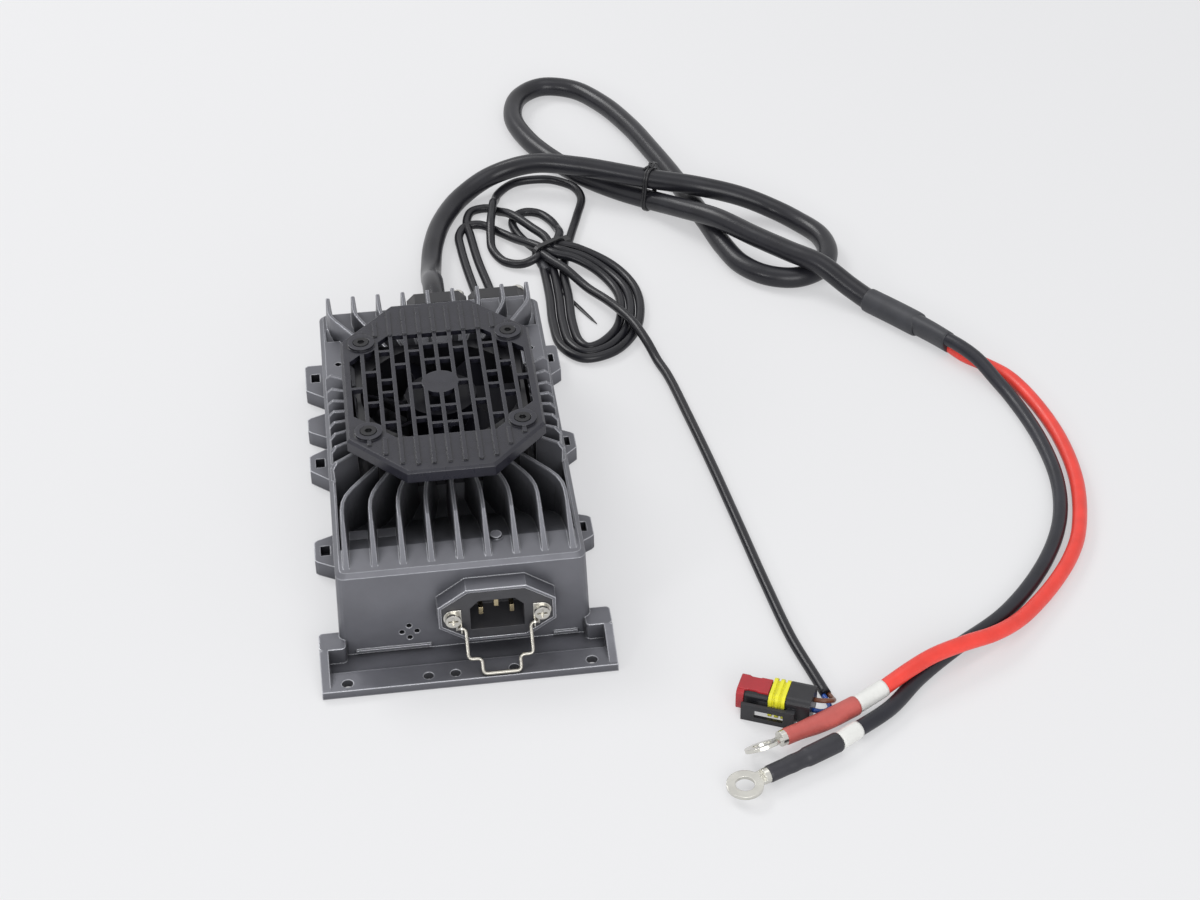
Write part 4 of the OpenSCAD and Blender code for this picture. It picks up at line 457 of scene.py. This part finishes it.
output, output_line = tube("output_cable", DC_ROUTE + DC_LOOP + DC_WAY_OUT + INTO_SLEEVE, DC_D,
                           JACKET, sides=24, lowest=DC_D / 2 + 0.1)
stands_for(output, "black_jacket", "dc_cable_lead", "dc_cable_hank", "dc_cable_tail")
one, _ = tube("first_sleeve", SLEEVE_ONE, 13.4, SLEEVE, sides=24, step=0.8,
              profile=[(0, 0.9), (0.015, 0.98), (0.05, 1.0), (0.9, 1.0), (0.975, 0.98), (1, 0.9)])
# The second sleeve is an oval round the two leads, which lie one over the other
two, _ = tube("second_sleeve", SLEEVE_TWO, 14.4, SLEEVE, sides=24, step=0.8,
              tilt=math.radians(62),
              profile=[(0, 0.92, 0.76), (0.3, 0.97, 0.74), (0.6, 1.03, 0.71),
                       (0.97, 1.06, 0.68), (1, 1.02, 0.64)])
stands_for(one, "sleeve_black", "breakout_sleeves")
stands_for(two, "sleeve_black", "breakout_sleeves")


def make_dc_tie():
    """Two thin turns of cord round the cable, knotted on top."""
    at, turn = np.array([137.0, 254.6, 0.0]), math.radians(-35)
    along = np.array([math.cos(turn), math.sin(turn), 0.0])
    side = np.array([-math.sin(turn), math.cos(turn), 0.0])
    up = np.array([0.0, 0.0, 1.0])
    d, width = 1.5, 2.8
    r = DC_D / 2 + d / 2 + 0.05
    # One half turn over the upper strand and one under the lower strand
    strands, starts, steps, degrees = ((1.2, 19.4), (-1.4, 7.4)), (-8, 172), 9, 24.5
    turn_round = []
    for (y, z), start in zip(strands, starts):
        for k in range(steps):
            a = math.radians(start + k * degrees)
            turn_round.append((y + r * math.cos(a), z + r * math.sin(a)))
    loop = turn_round[3:] + turn_round[:3]
    points = []
    for k, (y, z) in enumerate(loop + loop):
        x = -width / 2 + width * k / (2 * len(loop))
        points.append(at + along * x + side * y + up * z)
    wraps, _ = tube("dc_tie_turns", points, d, TIE, sides=10, step=1.2)
    top = points[0]
    knot = [top + along * x + side * y + up * z for x, y, z in (
        (-2.4, -4.2, 0.2), (-1.2, -2.4, 0.9), (0.2, -0.9, 1.7), (1.6, 0.4, 1.6), (1.4, 1.7, 0.8),
        (0.2, 1.6, 1.5), (-0.6, 0.2, 2.2), (0.3, -1.2, 1.8), (1.6, -1.0, 1.0), (1.8, 0.6, 1.9),
        (0.7, 2.2, 2.0), (0.4, 4.0, 0.9), (0.9, 6.2, -0.6))]
    tied, _ = tube("dc_tie_knot", knot, 1.4, TIE, sides=10, step=0.5)
    for o in (wraps, tied):
        stands_for(o, "tie_black", "dc_tie")


make_dc_tie()

# The two leads: the black one lies over the red one at the sleeve and under it near the lugs
POSITIVE = [
    [269.8, 93.2, 4.6], [273.6, 87.7, 4.4], [279, 79.2, 3.8], [287.2, 70.3, 3.7], [296.6, 58, 3.7],
    [303.6, 37.5, 3.7], [308.7, 3, 3.7], [307, -34, 3.7], [297.2, -70, 3.7], [288.5, -87, 3.7],
    [276.5, -103.5, 3.8], [263.5, -118, 4.3], [250.5, -130.3, 5.6], [236.5, -140, 8.2],
    [221, -146.3, 10.2],
    [205, -153, 11], [192, -160.2, 10.3], [180, -166.4, 7.6]]
NEGATIVE = [
    [267.6, 90.9, 10.4], [271.2, 85.6, 10.7], [276.8, 77, 10.8], [283, 66.5, 9.5], [289, 53, 6],
    [294.2, 37, 3.9], [298.8, 2, 3.7], [297.8, -32, 3.7], [290, -62, 3.7], [273.4, -92, 3.7],
    [246.3, -122.7, 3.7], [217.7, -142.7, 3.7], [198, -158.5, 3.7], [181, -175.5, 3.7],
    [164, -187, 4.3]]
POSITIVE_END = [[180, -166.4, 7.6], [166, -173.5, 5.6], [151, -180.5, 5.2], [136, -187, 6]]
NEGATIVE_END = [[164, -187, 4.3], [154, -193.5, 4.6], [140, -200, 4.6], [125, -206.5, 4.6]]


def beyond(points, reach):
    """The last point moved on by reach."""
    a, b = np.array(points[-2], float), np.array(points[-1], float)
    return list(b + (b - a) / np.linalg.norm(b - a) * reach)


MARKER_D, BOOT_D, OVER_BARREL = 8.2, 9, 5.5
MARKER_SHAPE = [(0, 0.94), (0.02, 0.99), (0.5, 1.0), (0.98, 0.99), (1, 0.94)]
RED_BOOT_SHAPE = [(0, 0.93), (0.02, 1.0), (0.3, 1.01), (0.48, 0.99), (0.6, 0.96), (0.72, 0.88),
                  (0.8, 0.84), (0.98, 0.84), (1, 0.79)]
BLACK_BOOT_SHAPE = [(0, 0.93), (0.02, 1.0), (0.3, 0.99), (0.47, 0.98), (0.49, 0.9), (0.56, 0.86),
                    (0.66, 0.9), (0.75, 0.85), (0.98, 0.85), (1, 0.79)]
for name, route, end, jacket, jacket_slot, boot_material, boot_shape, boot_slot in (
        ("positive", POSITIVE, POSITIVE_END, RED, "red_jacket",
         RED_BOOT, RED_BOOT_SHAPE, "boot_red"),
        ("negative", NEGATIVE, NEGATIVE_END, LEAD_JACKET, "black_jacket",
         BLACK_BOOT, BLACK_BOOT_SHAPE, "boot_black")):
    inward = list(0.75 * np.array(end[0]) + 0.25 * np.array(end[1]))
    lead, line = tube(name + "_cable", route + [inward], LEAD_D, jacket,
                      lowest=LEAD_D / 2 + 0.05)
    marker, _ = tube(name + "_marker", end[:2], MARKER_D, MARKER, sides=24, step=1.0,
                     profile=MARKER_SHAPE)
    boot, _ = tube(name + "_shrink_boot", end[1:] + [beyond(end, OVER_BARREL)], BOOT_D,
                   boot_material, sides=24, step=0.8, profile=boot_shape)
    stands_for(lead, jacket_slot, name + "_lead")
    stands_for(marker, "white_plastic", "marker_sleeves")
    stands_for(boot, boot_slot, name + "_boot")

# The two signal cables run into one bundle that is folded into a hank under a tie
ROUTE_A = [
    [40.2, 130.7, 24], [40.2, 142, 24], [39.6, 152, 17], [38.5, 164, 7], [37, 180, 2.8],
    [33, 210, 2.6], [31, 236, 2.6]]
ROUTE_B = [
    [31.8, 130.7, 24], [31.8, 142, 24], [31.2, 152, 17], [30, 164, 7], [28.6, 180, 2.8],
    [26, 204, 2.6], [24.5, 224, 2.6]]
LOBE = [
    [102, 190], [111, 170], [111, 148], [105, 129], [93, 115.5], [82, 113], [75, 122], [73, 142],
    [74, 168], [74, 190]]


def lobe(off, first):
    """One strand of the right lobe; first gives the heights of its first points."""
    heights = first + [2.6] * (len(LOBE) - len(first))
    return [q + [z] for q, z in zip(lane(LOBE, off), heights)]


CABLE_A = (
    ROUTE_A
    + [[30, 252, 2.6], [34, 263, 2.6], [43, 265, 2.6], [49, 259, 3.6], [54, 251.5, 6.6],
       [59, 243.5, 7.8], [66, 232, 7.8], [72, 222, 7.8], [75, 211.3, 7.6], [81, 205.5, 7.8],
       [91, 200, 6.6]]
    + lobe(0, [3.6])
    + [[73, 203, 2.6], [67, 216, 2.6], [60.5, 228, 2.6], [57, 238, 2.6], [56, 247, 2.6],
       [58.5, 254, 2.6], [64.5, 257.5, 2.6], [72, 255, 2.6], [78, 246, 2.6], [80.5, 236, 3.6],
       [80.8, 225, 7.2], [79, 213.8, 7.6], [88.9, 209.3, 6.4]]
    + lobe(5.2, [4.4, 2.8])
    + [[68.5, 200, 2.6]])
CABLE_B = (
    ROUTE_B
    + [[24.5, 238, 2.6], [29, 247, 2.6], [37, 248, 2.6], [48, 238, 2.6], [56, 227.5, 4],
       [64, 216.5, 7], [71, 208.7, 7.6], [77, 202.5, 7.8], [86, 198, 7.2]]
    + lobe(-5.2, [4.5])
    + [[81, 203, 2.6], [84, 216, 2.6], [88, 230, 2.6], [94, 250, 2.6], [98.5, 268, 2.6],
       [96, 280, 2.6], [89, 287.5, 2.6], [80, 292, 2.6], [62, 291, 2.6], [51, 280, 2.6],
       [48, 270, 4],
       [46.5, 262, 7.9], [44.5, 250, 7.9], [43, 240, 7.9], [42, 230, 5], [42, 221, 2.8],
       [48, 207, 2.6], [58, 201.5, 4], [66, 203, 7], [67, 206.2, 7.6],
       [74, 196, 7.6], [80, 187, 7.6], [90, 170, 5.5], [98, 156, 6.6], [104, 143, 8], [110, 129, 8],
       [115, 113, 6], [118.5, 100, 3], [122, 86, 2.6], [127, 50, 2.6], [132, 10, 2.6],
       [137, -36, 2.6], [142, -84, 2.6], [147, -124, 2.6], [152, -148, 2.6], [155, -162, 2.6]])
first_signal, first_line = tube("first_signal_cable", CABLE_A, SIGNAL_D, THIN_JACKET,
                                sides=16, step=2.0, lowest=SIGNAL_D / 2 + 0.05)
stands_for(first_signal, "black_jacket", "signal_lead_a", "signal_hank")
second_signal, second_line = tube("second_signal_cable", CABLE_B, SIGNAL_D, THIN_JACKET,
                                  sides=16, step=2.0, lowest=SIGNAL_D / 2 + 0.05)
stands_for(second_signal, "black_jacket", "signal_lead_b", "signal_hank", "signal_tail")
end_cap, _ = tube("signal_end_cap", [[70.2, 193, 2.9], [68.5, 200, 2.9], [67.6, 206, 2.9]],
                  5.8, SLEEVE, sides=16, step=0.8,
                  profile=[(0, 0.9), (0.05, 1.0), (0.9, 1.0), (0.97, 0.85), (1, 0.5)])
stands_for(end_cap, "sleeve_black", "signal_hank")

# The tie's loose end lies inside the right lobe
TIE_END = [[77.2, 172.5, 1.5], [80, 167, 0.9], [85, 156, 0.75], [89, 147, 0.75],
           [91.5, 141.5, 0.7]]
tie_end, _ = tube("signal_tie_end", TIE_END, 2.4, TIE, sides=12, step=1.0,
                  profile=[(0, 1.0, 0.5), (0.5, 1.0, 0.5), (0.85, 0.7, 0.45), (1, 0.15, 0.3)])

# Plug: two cores, and a red cap strip from the lock's face back to the seal
BLUE_ROUTE = [
    [153.8, -162.3, 2.6], [155, -167.9, 2.6], [155, -170, 2.8], [154.1, -171.9, 3.2],
    [152.4, -173.2, 3.6], [150.4, -173.7, 4], [148.3, -173.3, 4.3], [146.75, -172.54, 4.4]]
BROWN_ROUTE = [
    [156.2, -161.8, 2.6], [157.1, -166.2, 3.6], [157.1, -168.3, 5], [156.1, -170.3, 6.6],
    [154.4, -171.7, 8], [152.3, -172.2, 8.8], [150.2, -171.8, 8.8], [147.7, -170.55, 8.6]]
blue, _ = tube("blue_core", BLUE_ROUTE, WIRE_D, BLUE, sides=14, step=0.8)
brown, _ = tube("brown_core", BROWN_ROUTE, WIRE_D, BROWN, sides=14, step=0.8)
stands_for(blue, "wire_blue", "connector_wires")
stands_for(brown, "wire_blue", "connector_wires")


def prism(name, outline, low, high, material, place, soft=0.2):
    """The outline drawn up from low to high, its edges softened.

    place turns (x, y, height) into the row frame.
    """
    n = len(outline)
    verts = [place(x, y, low) for x, y in outline] + [place(x, y, high) for x, y in outline]
    faces = [tuple(range(n)), tuple(range(2 * n - 1, n - 1, -1))]
    faces += [(i, (i + 1) % n, n + (i + 1) % n, n + i) for i in range(n)]
    obj = add_mesh(name, verts, faces, material, smooth=False)
    bevel = obj.modifiers.new("soft", "BEVEL")
    bevel.width, bevel.segments, bevel.limit_method = soft * MM, 3, "ANGLE"
    return obj


PLUG_AT, PLUG_ANGLE = np.array([147.0, -172.0, 6.6]), math.radians(155)


def plug_place(x, y, z):
    """From the plug's own axes, its face at +X, into the row frame."""
    c, s = math.cos(PLUG_ANGLE), math.sin(PLUG_ANGLE)
    return PLUG_AT + np.array([c * x - s * y, s * x + c * y, z])


# A waist in the strip leaves two shallow finger steps
HALF_STRIP = [(19.2, -4.6), (24, -4.6), (24.8, -4.1), (28.6, -4.1), (29.4, -4.6), (33.2, -4.6)]
strip = prism("lock_strip", HALF_STRIP + [(x, -y) for x, y in reversed(HALF_STRIP)],
              4.7, 6.1, LOCK, plug_place, soft=0.35)


# Inlet metalwork

def make_brackets():
    """Under each inlet screw a tab with a round outer end, and an ear that carries the bail."""
    low, high = (np.array(v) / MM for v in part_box("bail_brackets"))
    middle = (low[0] + high[0]) / 2
    margin, thick, gap = 4.4, 0.8, 16.1
    screw_x, screw_z = (high[0] - low[0]) / 2 - margin, high[2] - margin
    tab_top = screw_z - 3.7
    arc = [(screw_x + margin * math.sin(a), screw_z - margin * math.cos(a))
           for a in (math.radians(k) for k in range(0, 181, 12))]
    for sx, side in ((-1, "left"), (1, "right")):
        def face(x, z, y):
            return np.array([middle + sx * x, y, z])

        def ear(y, z, x):
            return np.array([middle + sx * x, y, z])

        tab = prism("bracket_tab_" + side,
                    [(gap, low[2]), (gap + 3, low[2]), (gap + 3, screw_z - margin)] + arc
                    + [(gap, high[2])],
                    high[1] - thick, high[1], STEEL, face)
        front = low[1]
        loop = prism("bracket_ear_" + side,
                     [(high[1], low[2]), (front + 0.8, low[2]), (front, low[2] + 0.9),
                      (front, tab_top - 0.9), (front + 0.8, tab_top), (high[1], tab_top)],
                     gap, gap + thick, STEEL, ear)
        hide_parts("bail_brackets")
        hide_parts("bail_brackets")


def make_bail():
    """One round wire: pivot pins, two legs, a step inward and the cross bar."""
    low, high = (np.array(v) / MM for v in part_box("wire_bail"))
    wire, bend = 2.0, 2.2
    reach, rest = 21.0, 4.15
    leg_x, bar_x, step_at = 14.6, 8.6, 14.0
    middle, y0, z0 = (low[0] + high[0]) / 2, high[1] - wire / 2, high[2] - wire / 2
    angle = math.asin((z0 - rest - wire / 2) / reach)
    half = [((high[0] - low[0]) / 2, 0.0), (leg_x, 0.0), (leg_x, step_at), (bar_x, step_at),
            (bar_x, reach)]
    outline = [(-x, v) for x, v in half] + half[::-1]
    points = [(middle + x, y0 - v * math.cos(angle), z0 - v * math.sin(angle)) for x, v in outline]
    line = filleted(points, bend)
    sides = 14
    across = np.full((len(line), 2), 0.9)
    bail = add_mesh("bail_wire", rings(line, across, sides), tube_faces(len(line), sides), WIRE,
                    "wire_bail")
    stands_for(bail, "bright_steel", "wire_bail")


make_brackets()
make_bail()


# Floor, world and lamps

def seen_rays(t):
    """1 for rays from the camera, a mirror or a pane, else 0."""
    rays = t.nodes.new("ShaderNodeLightPath")
    total = None
    for name in ("Is Camera Ray", "Is Glossy Ray", "Is Transmission Ray"):
        if total is None:
            total = rays.outputs[name]
        else:
            n = t.nodes.new("ShaderNodeMath")
            n.operation = "MAXIMUM"
            t.links.new(total, n.inputs[0])
            t.links.new(rays.outputs[name], n.inputs[1])
            total = n.outputs[0]
    return total


def make_floor():
    """A pale sheet, half its own light where it is seen, so that it keeps the shadow."""
    mesh = bpy.data.meshes.new("floor")
    s = 8.0
    mesh.from_pydata([(-s, -s, 0), (s, -s, 0), (s, s, 0), (-s, s, 0)], [], [(0, 1, 2, 3)])
    obj = bpy.data.objects.new("floor", mesh)
    scene.collection.objects.link(obj)
    obj.location.z = -0.0002
    m = Mat("floor_paper", (0.82, 0.82, 0.825), 0.9, Specular_IOR_Level=0.1).mottle(3.0, 0.004)
    glow = m.add("ShaderNodeEmission")
    glow.inputs["Color"].default_value = (0.855, 0.855, 0.87, 1.0)
    share = m.add("ShaderNodeMath", operation="MULTIPLY")
    share.inputs[1].default_value = 0.5
    m.link(seen_rays(m.t), share.inputs[0])
    mix = m.add("ShaderNodeMixShader")
    m.link(share.outputs[0], mix.inputs[0])
    m.link(m.b.outputs[0], mix.inputs[1])
    m.link(glow.outputs[0], mix.inputs[2])
    m.link(mix.outputs[0], m.t.nodes["Material Output"].inputs["Surface"])
    mesh.materials.append(m.m)


def make_world():
    """A pale backdrop where it is seen, and a soft light of its own."""
    world = bpy.data.worlds.new("studio")
    scene.world = world
    world.use_nodes = True
    t = world.node_tree
    t.nodes.clear()
    out = t.nodes.new("ShaderNodeOutputWorld")
    ambient = t.nodes.new("ShaderNodeBackground")
    ambient.inputs["Color"].default_value = (0.97, 0.98, 1.0, 1.0)
    ambient.inputs["Strength"].default_value = 0.5
    seen = t.nodes.new("ShaderNodeBackground")
    seen.inputs["Color"].default_value = (0.84, 0.84, 0.85, 1.0)
    seen.inputs["Strength"].default_value = 1.0
    mix = t.nodes.new("ShaderNodeMixShader")
    t.links.new(seen_rays(t), mix.inputs[0])
    t.links.new(ambient.outputs[0], mix.inputs[1])
    t.links.new(seen.outputs[0], mix.inputs[2])
    t.links.new(mix.outputs[0], out.inputs[0])


def area(name, place, target, size, power):
    data = bpy.data.lights.new(name, "AREA")
    data.shape = "RECTANGLE"
    data.size, data.size_y = size
    data.energy = power
    obj = bpy.data.objects.new(name, data)
    scene.collection.objects.link(obj)
    obj.location = place
    obj.rotation_euler = (Vector(target) - Vector(place)).to_track_quat("-Z", "Y").to_euler()


make_floor()
make_world()
area("back_left_softbox", (-0.9, 1.3, 1.5), (0.05, 0.1, 0), (0.9, 0.7), 15)
area("top_softbox", (0.3, 0.3, 2.0), (0.05, 0.1, 0), (1.2, 1.2), 5)
area("front_softbox", (0.2, -1.8, 0.95), (0.05, 0.05, 0), (1.5, 0.9), 18)
area("left_softbox", (-1.5, -1.1, 1.0), (0, 0, 0.05), (0.5, 0.35), 5)
